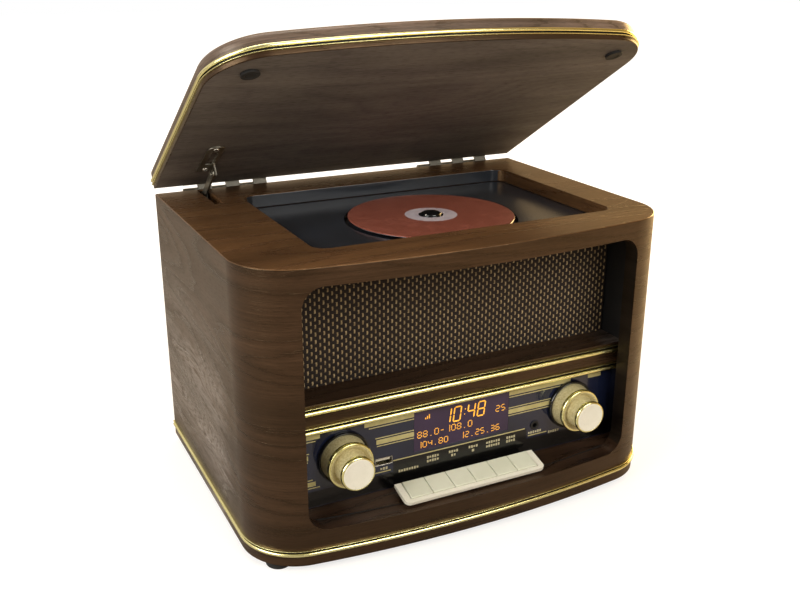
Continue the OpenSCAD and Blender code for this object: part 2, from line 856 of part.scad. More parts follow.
module volume_shaft() {
    color(steel) shaft(-knob_x, board_y - 1.2);
}

push_travel = 1;

// The right knob is moulded with its shaft.
module select_knob() {
    color(ivory) {
        knob_body(knob_x);
        shaft(knob_x, board_y - 1.5 - push_travel);
    }
}

module select_rings() {
    color(gold) knob_gold(knob_x);
}

// Push switch plunger behind the right shaft.
module select_plunger() {
    color(plastic_black) rod_y(knob_x, knob_z, board_y - 1.3 - push_travel, board_y - 0.2, shaft_r - 0.6);
}

module usb_socket() {
    color(steel) difference() {
        block([-socket_x - 6.5, panel_y, socket_z - 2.8], [-socket_x + 6.5, board_y, socket_z + 2.8]);
        block([-socket_x - 6, panel_y - 1, socket_z - 2.3], [-socket_x + 6, panel_y + 9, socket_z + 2.3]);
    }
}

module headphone_socket() {
    color(plastic_black) difference() {
        union() {
            rod_y(socket_x, socket_z, panel_y - 0.8, panel_y + panel_t + 1, 3.4);
            block([socket_x - 5, panel_y + panel_t, socket_z - 5], [socket_x + 5, board_y, socket_z + 5]);
        }
        rod_y(socket_x, socket_z, panel_y - 2, board_y - 1, jack_r, 48);
    }
}

// ---------- keys ----------

// The part of the key frame that goes down through the recess floor, grown by a clearance.
module key_box(grow, z0, z1) {
    w = key_count * key_pitch + 2;
    block([-w / 2 - grow, -4.2 - grow, z0], [w / 2 + grow, frame_rear - 0.4 + grow, z1]);
}

module key_frame() {
    w = key_count * key_pitch;
    outer = w + 2 * frame_edge;
    mid = (frame_front + frame_rear) / 2;
    color(ivory) key_axes() difference() {
        union() {
            translate([0, mid, -2.4]) linear_extrude(2.4) {
                round_rect(outer, frame_rear - frame_front, 4);
                translate([-outer / 2, 0]) square([outer, frame_rear - mid - eps]);
            }
            key_box(0, -9, -1);
        }
        block([-w / 2 - 0.3, key_front - gap, -3.5], [w / 2 + 0.3, key_rear + gap, 5]);
        block([-w / 2 - 0.3, -3.4, -12], [w / 2 + 0.3, key_rear + gap - 1, 1]);
    }
}

module key_board() {
    w = key_count * key_pitch + 2;
    color(board_green) key_axes() block([-w / 2, -4.2, -10.6], [w / 2, frame_rear - 0.4, -9]);
    color(plastic_black) key_axes() for (i = [0:key_count - 1]) {
        x = (i - (key_count - 1) / 2) * key_pitch;
        block([x - 3, -1.5, -9 - eps], [x + 3, 4.5, -7.2]);
    }
}

module key_cap(i) {
    x = (i - (key_count - 1) / 2) * key_pitch;
    w = key_pitch - 0.4;
    color(ivory) key_axes() {
        block([x - w / 2, key_front, -1.4], [x + w / 2, key_rear, key_up]);
        block([x - w / 2 + 1, -3, -5.6], [x + w / 2 - 1, key_rear - 1.2, -1.4 + eps]);
    }
}

module key_1() { key_cap(0); }
module key_2() { key_cap(1); }
module key_3() { key_cap(2); }
module key_4() { key_cap(3); }
module key_5() { key_cap(4); }
module key_6() { key_cap(5); }

// ---------- boards ----------

module main_board() {
    z = wall_z + sill_h + 6;
    color(board_green) block([-120, -120, z], [20, -30, z + 1.6]);
    color(ivory) for (x = [-114, 14], y = [-114, -36]) {
        translate([x, y, z - 6]) cylinder(r = 3, h = 6);
    }
    color(dark) {
        block([-100, -60, z + 1.6], [-84, -44, z + 4]);
        block([-70, -50, z + 1.6], [-20, -47, z + 31.6]);
        for (x = [-60, -44, -28]) {
            translate([x, -70, z + 1.6]) cylinder(r = 6, h = 20);
        }
        for (x = [-105, -90, -75]) {
            translate([x, -100, z + 1.6]) cylinder(r = 3, h = 9);
        }
    }
}

module transformer() {
    z = wall_z + sill_h;
    color(steel) block([52, -92, z], [110, -50, z + 2]);
    color("#6b6f75") block([58, -86, z + 2], [104, -56, z + 42]);
    color("#b0742e") block([66, -94, z + 8], [96, -48, z + 36]);
}

// ---------- hinges and stay ----------

leaf_screws = [
    for (s = [-1, 1], k = [-1, 0, 1]) s * hinge_x + k * (hinge_len / 2 - 5)
];
leaf_screw_z = cabinet_h - 7;

module leaf_screw(x, z) {
    rod_y(x, z, -screw_l + leaf_t, leaf_t, screw_r, 32);
    rod_y(x, z, leaf_t, leaf_t + 0.5, screw_head_r, 32);
}

module leaf_screw_holes(z) {
    for (x = leaf_screws) {
        rod_y(x, z, -screw_l, 2, screw_r, 32);
    }
}

// One hinge leaf with its three knuckles. The first knuckle is at the low-x end when part is 0.
module leaf(s, part, z0, z1) {
    x0 = s * hinge_x - hinge_len / 2;
    difference() {
        union() {
            block([x0, 0, z0], [x0 + hinge_len, leaf_t, z1]);
            for (k = [part:2:knuckles - 1]) {
                xa = x0 + k * knuckle_l + 0.1;
                xb = x0 + (k + 1) * knuckle_l - 0.1;
                rod_x(hinge_back, hinge_z, xa, xb, barrel_r);
                if (part == 0) {
                    block([xa, 0, hinge_z - barrel_r], [xb, hinge_back - barrel_r / 2, hinge_z]);
                } else {
                    block([xa, hinge_back - barrel_r, hinge_z], [xb, hinge_back - barrel_r + leaf_t, z0 + leaf_t]);
                    block([xa, 0, z0 - eps], [xb, hinge_back - barrel_r + leaf_t, z0 + leaf_t]);
                }
            }
        }
        rod_x(hinge_back, hinge_z, x0 - 1, x0 + hinge_len + 1, pin_r + (part == 0 ? 0 : fit), 32);
    }
}

leaf_low_z1 = hinge_z - 0.5; // upper edge of the cabinet leaves
lid_leaf_z0 = lid_z + 0.4; // lower edge of the lid leaves when closed
lid_screw_z = lid_z + 8;

module hinge_cabinet_leaves() {
    color(steel) difference() {
        for (s = [-1, 1]) {
            leaf(s, 0, leaf_low_z1 - leaf_h + 3, leaf_low_z1);
        }
        leaf_screw_holes(leaf_screw_z);
    }
}

module hinge_lid_leaves() {
    color(steel) lid_open_pose() difference() {
        for (s = [-1, 1]) {
            leaf(s, 1, lid_leaf_z0, lid_leaf_z0 + leaf_h);
        }
        leaf_screw_holes(lid_screw_z);
    }
}

module hinge_pins() {
    color(steel) for (s = [-1, 1]) {
        rod_x(hinge_back, hinge_z, s * hinge_x - hinge_len / 2, s * hinge_x + hinge_len / 2, pin_r, 32);
    }
}

// Screws of the lid's hinge leaves and of the stay's plate.
module lid_screws() {
    color(steel) lid_open_pose() {
        for (x = leaf_screws) {
            leaf_screw(x, lid_screw_z);
        }
        for (y = plate_screws) {
            translate([plate_x, y, lid_z - plate_t]) cylinder(r = screw_r, h = 8, $fn = 32);
            translate([plate_x, y, lid_z - plate_t - 0.6]) cylinder(r = 2.2, h = 0.6, $fn = 32);
        }
    }
}

bracket_x0 = -stay_x + stay_t / 2 + gap; // plane between the arm and its brackets
bracket_t = 1.2;
arm_w = 6;

// The stay's bracket stands in the pocket of the top board.
module stay_bracket() {
    color(steel) difference() {
        union() {
            block([bracket_x0, -stay_pivot_y - 4, cabinet_h - pocket_d],
                [bracket_x0 + bracket_t, -stay_pivot_y + 3, stay_z + 3]);
            block([bracket_x0, -stay_pivot_y - 14, cabinet_h - pocket_d],
                [-stay_x + pocket_w / 2 - 0.2, -stay_pivot_y - 4, cabinet_h - pocket_d + 1]);
        }
        rod_x(-stay_pivot_y, stay_z, bracket_x0 - 8, bracket_x0 + 4, stay_pin_r, 32);
    }
}

module stay_pivot() {
    color(steel) stay_rivet(-stay_pivot_y);
}

// Pin through the arm and its bracket, with a head at the arm's side.
module stay_rivet(y) {
    head = -stay_x - stay_t / 2 - gap;
    rod_x(y, stay_z, head, bracket_x0 + bracket_t, stay_pin_r, 32);
    rod_x(y, stay_z, head - 0.8, head, stay_pin_r + 1.2, 32);
}

// Guide pin and pivot, from the hinge axis, closed and open.
pin_closed = [-stay_reach, stay_z - hinge_z];
pin_open = [
    pin_closed[0] * cos(lid_open) + pin_closed[1] * sin(lid_open),
    -pin_closed[0] * sin(lid_open) + pin_closed[1] * cos(lid_open)
];
pivot = [-stay_pivot_y - hinge_back, stay_z - hinge_z];
arm_vector = pin_open - pivot;
arm_len = norm(arm_vector);
arm_angle = atan2(arm_vector[1], -arm_vector[0]);
closed_len = norm(pin_closed - pivot);

// The arm's own x axis runs from its pivot to the guide pin; the slot lets the pin slide a little.
module stay_arm() {
    color(steel) translate([-stay_x, -stay_pivot_y, stay_z]) rotate([-arm_angle, 0, 0])
        rotate([90, 0, -90]) translate([0, 0, -stay_t / 2]) linear_extrude(stay_t) difference() {
            union() {
                circle(r = arm_w / 2, $fn = 48);
                translate([0, -arm_w / 2]) square([arm_len + 1, arm_w]);
                translate([arm_len + 1, 0]) circle(r = arm_w / 2, $fn = 48);
            }
            circle(r = stay_pin_r + fit, $fn = 32);
            translate([closed_len - 0.6, -stay_slot_half])
                square([arm_len - closed_len + 1.2, 2 * stay_slot_half]);
            translate([closed_len - 0.6, 0]) circle(r = stay_slot_half, $fn = 32);
            translate([arm_len + 0.6, 0]) circle(r = stay_slot_half, $fn = 32);
        }
}

// Plate on the underside of the lid with a folded ear that carries the guide pin.
plate_t = 1;
plate_w = 12;
plate_x = bracket_x0 + bracket_t - plate_w / 2;
plate_y0 = hinge_back - stay_reach - 42;
plate_y1 = hinge_back - stay_reach + 6;
plate_screws = [plate_y0 + 5, plate_y1 - 4];

module stay_guide() {
    y = hinge_back - stay_reach;
    teeth = 6;
    color(steel) lid_open_pose() difference() {
        union() {
            translate([plate_x, 0, lid_z - plate_t]) linear_extrude(plate_t) difference() {
                union() {
                    translate([0, plate_y0 + plate_w / 2]) circle(r = plate_w / 2, $fn = 48);
                    translate([-plate_w / 2, plate_y0 + plate_w / 2])
                        square([plate_w, plate_y1 - plate_y0 - plate_w / 2]);
                }
                // notched slot
                translate([-2, plate_y0 + 10]) square([4, 24]);
                for (i = [0:teeth - 1]) {
                    translate([1.5, plate_y0 + 11 + i * 4]) square([1.8, 2]);
                }
            }
            block([bracket_x0, y - 5, stay_z - 2.4], [bracket_x0 + bracket_t, y + 5, lid_z]);
            stay_rivet(y);
        }
        for (v = plate_screws) {
            translate([plate_x, v, lid_z - plate_t - 1]) cylinder(r = screw_r, h = plate_t + 2, $fn = 32);
        }
    }
}

// ---------- lid ----------

module lid_panel() {
    trim_low = lid_z + lid_lip_h;
    trim_high = trim_low + trim_h;
    lid_top = lid_z + lid_t;
    round_r = 4;
    color(wood) lid_open_pose() difference() {
        union() {
            slab(lid_z, trim_low);
            slab(trim_low, trim_high, -trim_seat - fit);
            slab(trim_high, lid_top - round_r);
            for (i = [0:3]) {
                a = (i + 0.5) * 90 / 4;
                slab(lid_top - round_r + i, lid_top - round_r + i + 1, -round_r * (1 - cos(a)));
            }
        }
        leaf_screw_holes(lid_screw_z);
        for (v = plate_screws) {
            translate([plate_x, v, lid_z - 1]) cylinder(r = screw_r, h = 8, $fn = 32);
        }
    }
}

module lid_trim() {
    color(gold) lid_open_pose() trim_band(lid_z + lid_lip_h);
}

module lid_pads() {
    color(dark) lid_open_pose() for (s = [-1, 1]) {
        translate([s * (half_w - 25), front_y + 30, lid_z - lid_gap + 0.1])
            cylinder(r = pad_r, h = lid_gap - 0.1);
    }
}

placed() cabinet_shell();
placed() top_board();
placed() base_board();
placed() base_trim();
placed() feet();
placed() back_panel();
placed() rear_screws();
placed() mains_inlet();
placed() aerial_socket();
placed() disc_deck();
placed() drive_frame();
placed() drive_motors();
placed() sled_rods();
placed() speaker_baffle();
placed() speaker_cloth();
placed() speaker_left();
placed() speaker_right();
placed() speaker_cones();
placed() recess_liner();
placed() fascia_rail();
placed() fascia_bars();
placed() control_panel();
placed() display_window();
placed() display_module();
placed() knob_rings();
placed() encoders();
placed() usb_socket();
placed() headphone_socket();
placed() control_board();
placed() key_frame();
placed() key_board();
placed() main_board();
placed() transformer();
placed() hinge_cabinet_leaves();
placed() hinge_pins();
placed() stay_bracket();
placed() stay_pivot();
placed() lid_panel();
placed() lid_trim();
placed() lid_pads();
placed() hinge_lid_leaves();
placed() lid_screws();
placed() stay_guide();
placed() stay_arm();
placed() disc();
placed() spindle_hub();
placed() laser_sled();
placed() sled_pinion();
placed() volume_knob();
placed() volume_rings();
placed() volume_shaft();
placed() select_plunger();
placed() select_knob();
placed() select_rings();
placed() key_1();
placed() key_2();
placed() key_3();
placed() key_4();
placed() key_5();
placed() key_6();
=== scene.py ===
"""Looks of the stereo music centre: veneer, gold trims, woven speaker cloth, lit display, knobs and keys.

Sizes are millimetres in the cabinet's own axes: x to the right, y = 0 at the rear face with the front at
negative y, z = 0 under the plinth. TO_FRAME turns them into metres in the shared frame.
"""

import json
import logging
import math
from collections.abc import Callable, Sequence
from dataclasses import dataclass, field
from enum import Enum
from functools import cache

import bmesh
import bpy
from mathutils import Matrix, Vector


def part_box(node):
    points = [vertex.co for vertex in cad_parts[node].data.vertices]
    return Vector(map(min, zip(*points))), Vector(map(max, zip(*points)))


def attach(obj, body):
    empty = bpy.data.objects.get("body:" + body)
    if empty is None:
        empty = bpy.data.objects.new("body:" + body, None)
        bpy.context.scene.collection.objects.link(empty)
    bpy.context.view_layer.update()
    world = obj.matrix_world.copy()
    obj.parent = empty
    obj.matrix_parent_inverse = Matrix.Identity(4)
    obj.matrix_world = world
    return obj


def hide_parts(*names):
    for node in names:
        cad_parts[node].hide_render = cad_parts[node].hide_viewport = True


Profile = list[tuple[float, float]]
LOG = logging.getLogger("music_centre")

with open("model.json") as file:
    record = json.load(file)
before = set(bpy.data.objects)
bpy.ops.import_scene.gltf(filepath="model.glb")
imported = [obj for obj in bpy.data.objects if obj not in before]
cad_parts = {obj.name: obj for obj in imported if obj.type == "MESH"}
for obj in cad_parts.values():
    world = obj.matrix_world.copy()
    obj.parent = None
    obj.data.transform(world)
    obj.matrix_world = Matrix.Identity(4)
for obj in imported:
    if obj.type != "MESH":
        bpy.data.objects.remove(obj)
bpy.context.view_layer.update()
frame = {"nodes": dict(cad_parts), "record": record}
BODY_OF = {node: body for body, nodes in frame["record"]["behaviour"]["bodies"].items() for node in nodes}


@dataclass(frozen=True)
class Plan:
    """The cabinet's outline seen from above, and where it stands in the shared frame."""

    width: float = 310.0
    depth: float = 226.0
    height: float = 199.0
    corner_r: float = 40.0
    bow_r: float = 882.0
    foot_h: float = 5.5
    lid_open: float = 31.0
    hinge_y: float = 3.6
    hinge_z: float = 197.5
    lid_z: float = 201.0
    lid_t: float = 16.0
    panel_y: float = -195.5
    knob_x: float = 89.5
    knob_z: float = 59.5
    ring_r: float = 18.2  # outer radius of the surrounds round the knobs
    bow_steps: int = 36
    corner_steps: int = 30

    @property
    def corner_x(self) -> float:
        """Distance of a corner's centre from the centre line."""
        return self.width / 2 - self.corner_r

    @property
    def bow_y(self) -> float:
        """Centre of the bowed front."""
        return self.bow_r - self.depth

    @property
    def corner_y(self) -> float:
        """Depth of a corner's centre."""
        return self.bow_y - math.sqrt((self.bow_r - self.corner_r) ** 2 - self.corner_x**2)

    @property
    def lean(self) -> float:
        """Angle at which the bow runs into the corner."""
        return math.asin(self.corner_x / (self.bow_r - self.corner_r))

    def outline(self, grow: float, rear: float = 0.0) -> Profile:
        """Points from the left rear round the front to the right rear.

        Args:
            grow: how far the line stands outside the cabinet's own outline.
            rear: how far the line's ends stay in front of the rear face.

        Returns:
            The points, always the same number of them.
        """
        bow, r = self.bow_r + grow, self.corner_r + grow
        right = []
        for i in range(self.bow_steps + 1):
            a = self.lean * i / self.bow_steps
            right.append((bow * math.sin(a), self.bow_y - bow * math.cos(a)))
        for i in range(1, self.corner_steps + 1):
            a = self.lean + (math.pi / 2 - self.lean) * i / self.corner_steps
            right.append((self.corner_x + r * math.sin(a), self.corner_y - r * math.cos(a)))
        right.append((self.width / 2 + grow, -rear))
        return [(-x, y) for x, y in reversed(right)] + right[1:]

    def along(self, x: float, y: float) -> float:
        """Distance along the outline from the middle of the front, signed as x is.

        Args:
            x: place across.
            y: place in depth.

        Returns:
            The distance in millimetres.
        """
        side = math.copysign(1.0, x)
        a = math.atan2(abs(x), self.bow_y - y)
        if a < self.lean:
            return side * self.bow_r * a
        turn = math.atan2(abs(x) - self.corner_x, self.corner_y - y)
        run = self.bow_r * self.lean + self.corner_r * (min(max(turn, self.lean), math.pi / 2) - self.lean)
        return side * (run + max(0.0, y - self.corner_y))

    def inset(self, x: float, y: float) -> float:
        """How far a point lies inside the outline."""
        if math.atan2(abs(x), self.bow_y - y) < self.lean:
            return self.bow_r - math.hypot(x, self.bow_y - y)
        if y > self.corner_y:
            return self.width / 2 - abs(x)
        return self.corner_r - math.hypot(abs(x) - self.corner_x, y - self.corner_y)

    def lid_pose(self) -> Matrix:
        """Turns what is built closed into the open lid."""
        axis = Vector((0, self.hinge_y, self.hinge_z))
        turn = Matrix.Rotation(math.radians(-self.lid_open), 4, "X")
        return Matrix.Translation(axis) @ turn @ Matrix.Translation(-axis)


PLAN = Plan()
REAR_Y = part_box("cabinet_shell")[1].y
TO_FRAME = Matrix.Translation((0, REAR_Y, PLAN.foot_h / 1000)) @ Matrix.Scale(0.001, 4)
FROM_FRAME = TO_FRAME.inverted()


# ---------- finishes ----------


def linear(code: str) -> tuple[float, float, float, float]:
    """Linear colour of an sRGB hex code.

    Args:
        code: the colour as "#rrggbb".

    Returns:
        Red, green, blue and an alpha of 1.
    """
    parts = [int(code[i : i + 2], 16) / 255 for i in (1, 3, 5)]
    return (*(c / 12.92 if c <= 0.04045 else ((c + 0.055) / 1.055) ** 2.4 for c in parts), 1.0)


def feed(node: bpy.types.Node, inputs: dict) -> None:
    """Sets a node's inputs or links them.

    Args:
        node: the node.
        inputs: for each input, by its name or place, a value, a socket, or a node whose first output
            feeds it.
    """
    for key, value in inputs.items():
        if isinstance(value, bpy.types.Node):
            value = value.outputs[0]
        if isinstance(value, bpy.types.NodeSocket):
            node.id_data.links.new(value, node.inputs[key])
        else:
            node.inputs[key].default_value = value


def add_node(
    tree: bpy.types.NodeTree, kind: str, inputs: dict | None = None, **settings: object
) -> bpy.types.Node:
    """Adds a node with its settings and what feeds it.

    Args:
        tree: the tree that gets the node.
        kind: the node's type, without its first word.
        inputs: what feeds each input, as feed() takes it.
        settings: the node's own properties.

    Returns:
        The new node.
    """
    node = tree.nodes.new(f"ShaderNode{kind}")
    for key, value in settings.items():
        setattr(node, key, value)
    feed(node, inputs or {})
    return node


def set_ramp(node: bpy.types.Node, stops: Sequence[tuple[float, str]]) -> None:
    """Sets the stops of a colour ramp.

    Args:
        node: the ramp.
        stops: place and colour of each stop, in order.
    """
    ramp = node.color_ramp
    while len(ramp.elements) < len(stops):
        ramp.elements.new(0.5)
    for element, (place, code) in zip(ramp.elements, stops):
        element.position = place
        element.color = linear(code)


def new_material(name: str) -> tuple[bpy.types.Material, bpy.types.NodeTree, bpy.types.Node]:
    """An empty material with its tree and its shader.

    Args:
        name: the material's name.

    Returns:
        The material, its node tree and its Principled shader.
    """
    mat = bpy.data.materials.new(name)
    mat.use_nodes = True
    return mat, mat.node_tree, mat.node_tree.nodes["Principled BSDF"]


@dataclass(frozen=True)
class Veneer:
    """Open-pored veneer, stained and lacquered: flowing growth lines and short dark pores."""

    name: str
    dark: str
    mid: str
    light: str
    line_mm: float = 3.4  # spacing of the growth lines
    figure_mm: tuple[float, float] = (260.0, 46.0)  # length and height of the flame figure
    wobble_mm: tuple[float, float] = (40.0, 2.2)  # length and height of the lines' unrest
    wobble: float = 0.55  # how far it moves them, in lines
    cloud_mm: tuple[float, float] = (170.0, 34.0)  # length and height of the broad drifts of tone
    cloud: tuple[float, float] = (0.62, 1.28)  # the darkest and the lightest of them
    streak_mm: tuple[float, float] = (130.0, 1.5)  # length and height of the fine streaks
    streak: float = 0.26  # how much the streaks lighten and darken
    pore_mm: tuple[float, float] = (7.0, 0.55)  # length and width of a pore
    pore: float = 0.66  # how dark a pore is beside the wood
    relief_mm: float = 0.16  # how deep pores and lines lie under the lacquer
    side_sheen: str = ""  # tone of the sheen painted on the flat sides lower down, standing in for the light they mirror at a grazing angle
    side_sheen_mm: tuple[float, float] = (190.0, 22.0)  # length and height of the painted sheen's patches
    side_sheen_from: tuple[float, float] = (188.0, 212.0)  # distance from the front's middle where the painted sheen fades in, so only the sides get it
    side_sheen_below: tuple[float, float] = (30.0, 120.0)  # depth below the top where the painted sheen fades in
    roughness: float = 0.3
    dulling: float = 0.1  # how much rougher the open pores are
    polish: float = 0.03  # how much smoother the closed wood is
    tint: str = "#ffd6a6"  # the stain colours what the lacquer mirrors

    def build(self) -> bpy.types.Material:
        """Makes the material from the mesh's own veneer coordinates."""
        mat, tree, shader = new_material(self.name)
        grain = add_node(tree, "Attribute", attribute_name="veneer").outputs["Vector"]

        def drawn(length: float, height: float, detail: float, warp: float = 0.0) -> bpy.types.Node:
            """Noise drawn out along the grain."""
            at = add_node(tree, "Mapping", {"Vector": grain, "Scale": (1 / length, 1 / height, 1.0)})
            spread = {"Vector": at, "Scale": 1.0, "Detail": detail, "Distortion": warp}
            return add_node(tree, "TexNoise", spread)

        figure = drawn(*self.figure_mm, 1.5, 0.35)
        turns = self.figure_mm[1] / self.line_mm * 0.75
        wobble = drawn(*self.wobble_mm, 2.0)
        unrest = add_node(tree, "Math", {0: wobble, 1: self.wobble}, operation="MULTIPLY")
        lines = add_node(tree, "Math", {0: figure, 1: turns, 2: unrest}, operation="MULTIPLY_ADD")
        saw = add_node(tree, "Math", {0: lines}, operation="FRACT")
        tone = add_node(tree, "ValToRGB", {0: saw})
        dark, mid, light = self.dark, self.mid, self.light
        set_ramp(tone, [(0.0, mid), (0.55, light), (0.86, mid), (0.95, dark), (1.0, mid)])
        low, high = self.cloud
        clouds = add_node(tree, "MapRange", {0: drawn(*self.cloud_mm, 3.0), 1: 0.3, 2: 0.7, 3: low, 4: high})
        pores = add_node(
            tree, "MapRange", {0: drawn(*self.pore_mm, 1.0), 1: 0.5, 2: 0.66, 3: 1.0, 4: self.pore}
        )
        low, high = 1 - self.streak, 1 + self.streak
        drift = drawn(*self.streak_mm, 3.0)
        streaks = add_node(tree, "MapRange", {0: drift, 1: 0.34, 2: 0.66, 3: low, 4: high})
        fine = add_node(tree, "Math", {0: streaks, 1: pores}, operation="MULTIPLY")
        shade = add_node(tree, "Math", {0: clouds, 1: fine}, operation="MULTIPLY")
        skin = add_node(tree, "VectorMath", {0: tone, "Scale": shade}, operation="SCALE")
        relief = add_node(tree, "Math", {0: saw, 1: 0.45, 2: pores}, operation="MULTIPLY_ADD")
        dull, bright = self.roughness + self.dulling, self.roughness - self.polish
        rough = add_node(tree, "MapRange", {0: relief, 1: 0.7, 2: 1.4, 3: dull, 4: bright})
        depth = self.relief_mm / 1000
        bump = add_node(tree, "Bump", {"Height": relief, "Distance": depth, "Strength": 0.6})
        # painted reflection: a pale sheen on the sides' lower part, for the light they catch at a grazing
        # angle
        if self.side_sheen:
            skin = self.paint_side_sheen(grain, drawn(*self.side_sheen_mm, 3.0), lines, shade, skin)
        feed(shader, {"Base Color": skin, "Roughness": rough, "Normal": bump, "IOR": 1.48})
        feed(shader, {"Specular Tint": linear(self.tint)})
        return mat

    def paint_side_sheen(
        self,
        grain: bpy.types.NodeSocket,
        bands: bpy.types.Node,
        lines: bpy.types.Node,
        shade: bpy.types.Node,
        skin: bpy.types.Node,
    ) -> bpy.types.NodeSocket:
        """Paints a sheen on the flat sides, lower down: a pale ground that stands in for the light they
        mirror, between fine dark grain lines.

        Args:
            grain: the veneer coordinates.
            bands: noise that says where the painted sheen is palest.
            lines: the figure, one unit from growth line to growth line.
            shade: the streaks and pores, as a factor.
            skin: the colour so far.

        Returns:
            The colour with the figure.
        """
        tree = skin.id_data
        axes = add_node(tree, "SeparateXYZ", {0: grain}).outputs
        far = add_node(tree, "Math", {0: axes[0]}, operation="ABSOLUTE")
        depth = add_node(tree, "Math", {0: axes[1], 1: -1.0}, operation="MULTIPLY")
        quick = add_node(tree, "Math", {0: lines, 1: 4.0}, operation="MULTIPLY")
        fine = add_node(tree, "Math", {0: quick}, operation="FRACT")
        share: bpy.types.Node | float = 1.0
        # share of the painted sheen: on the sides, lower down, between the fine lines, in patches
        for value, low, high, most in (
            (far, *self.side_sheen_from, 1.0),
            (depth, *self.side_sheen_below, 1.0),
            (fine, 0.15, 0.4, 1.0),
            (bands, 0.3, 0.62, 0.85),
        ):
            part = add_node(tree, "MapRange", {0: value, 1: low, 2: high, 3: 0.0, 4: most})
            share = add_node(tree, "Math", {0: share, 1: part}, operation="MULTIPLY")
        # the painted sheen's tone, with the streaks and pores over it
        pale = add_node(tree, "VectorMath", {0: linear(self.side_sheen)[:3], "Scale": shade}, operation="SCALE")
        mix = add_node(tree, "Mix", {0: share}, data_type="RGBA")
        feed(mix, {"A": skin, "B": pale})
        return mix.outputs["Result"]


@dataclass(frozen=True)
class Surface:
    """Anything moulded, plated, painted, brushed or cast: two close tones, a grit and a gloss."""

    name: str
    colour: str
    second: str
    patch_mm: float  # size of the drifts from the first tone to the second
    grit_mm: float  # size of the surface's relief
    relief_mm: float  # depth of that relief
    roughness: float
    gloss_drift: float  # how much the roughness wanders
    metallic: float = 0.0
    ior: float = 1.5
    coat: float = 0.0
    stretch: tuple[float, float, float] = (1.0, 1.0, 1.0)  # brushing draws the grit out along an axis
    glow: float = 0.0

    def build(self) -> bpy.types.Material:
        """Makes the material from the object's own coordinates."""
        mat, tree, shader = new_material(self.name)
        place = add_node(tree, "TexCoord").outputs["Object"]
        drawn = add_node(tree, "Mapping", {"Vector": place, "Scale": self.stretch})
        patch = add_node(tree, "TexNoise", {"Vector": drawn, "Scale": 1000 / self.patch_mm, "Detail": 3.0})
        grit = add_node(tree, "TexNoise", {"Vector": drawn, "Scale": 1000 / self.grit_mm, "Detail": 2.0})
        tone = add_node(tree, "ValToRGB", {0: patch})
        set_ramp(tone, [(0.35, self.colour), (0.68, self.second)])
        low, high = self.roughness - self.gloss_drift, self.roughness + self.gloss_drift
        rough = add_node(tree, "MapRange", {0: grit, 1: 0.3, 2: 0.7, 3: low, 4: high})
        bump = add_node(tree, "Bump", {"Height": grit, "Distance": self.relief_mm / 1000, "Strength": 0.6})
        feed(shader, {"Base Color": tone, "Roughness": rough, "Normal": bump})
        feed(shader, {"Metallic": self.metallic, "Coat Weight": self.coat})
        if not self.metallic:
            feed(shader, {"IOR": self.ior})
        if self.glow:
            feed(shader, {"Emission Color": tone, "Emission Strength": self.glow})
        return mat


@dataclass(frozen=True)
class DiscFace:
    """Screen-printed polycarbonate: flat ink with a faint ring pattern from the grooves under it."""

    name: str
    ink: str
    edge: str
    centre: tuple[float, float]  # of the disc, in the cabinet's axes
    ring_mm: float = 0.8  # the data grooves are far finer; this is the coarsest banding the eye sees
    cloud_mm: float = 1000 / 90  # size of the ink's drifts of tone
    roughness: float = 0.24
    dulling: float = 0.06  # how much rougher the ink is on the crest of a ring

    def build(self) -> bpy.types.Material:
        """Makes the material from the distance to the disc's middle."""
        mat, tree, shader = new_material(self.name)
        place = add_node(tree, "TexCoord").outputs["Object"]
        middle = TO_FRAME @ Vector((*self.centre, 0))
        away = add_node(tree, "VectorMath", {0: place, 1: (middle.x, middle.y, 0)}, operation="SUBTRACT")
        flat = add_node(tree, "VectorMath", {0: away, 1: (1, 1, 0)}, operation="MULTIPLY")
        radius = add_node(tree, "VectorMath", {0: flat}, operation="LENGTH").outputs["Value"]
        turns = add_node(tree, "Math", {0: radius, 1: 2000 * math.pi / self.ring_mm}, operation="MULTIPLY")
        wave = add_node(tree, "Math", {0: turns}, operation="SINE")
        cloud = add_node(tree, "TexNoise", {"Vector": place, "Scale": 1000 / self.cloud_mm, "Detail": 2.0})
        mixed = add_node(tree, "Math", {0: wave, 1: 0.12, 2: cloud}, operation="MULTIPLY_ADD")
        tone = add_node(tree, "ValToRGB", {0: mixed})
        set_ramp(tone, [(0.3, self.ink), (0.75, self.edge)])
        dull = self.roughness + self.dulling
        rough = add_node(tree, "MapRange", {0: wave, 1: -1.0, 2: 1.0, 3: self.roughness, 4: dull})
        feed(shader, {"Base Color": tone, "Roughness": rough, "IOR": 1.58})
        feed(shader, {"Coat Weight": 0.15, "Coat Roughness": 0.08})
        return mat


DISC_CENTRE = (15.5, -117.0)  # the spindle's axis, seen from above


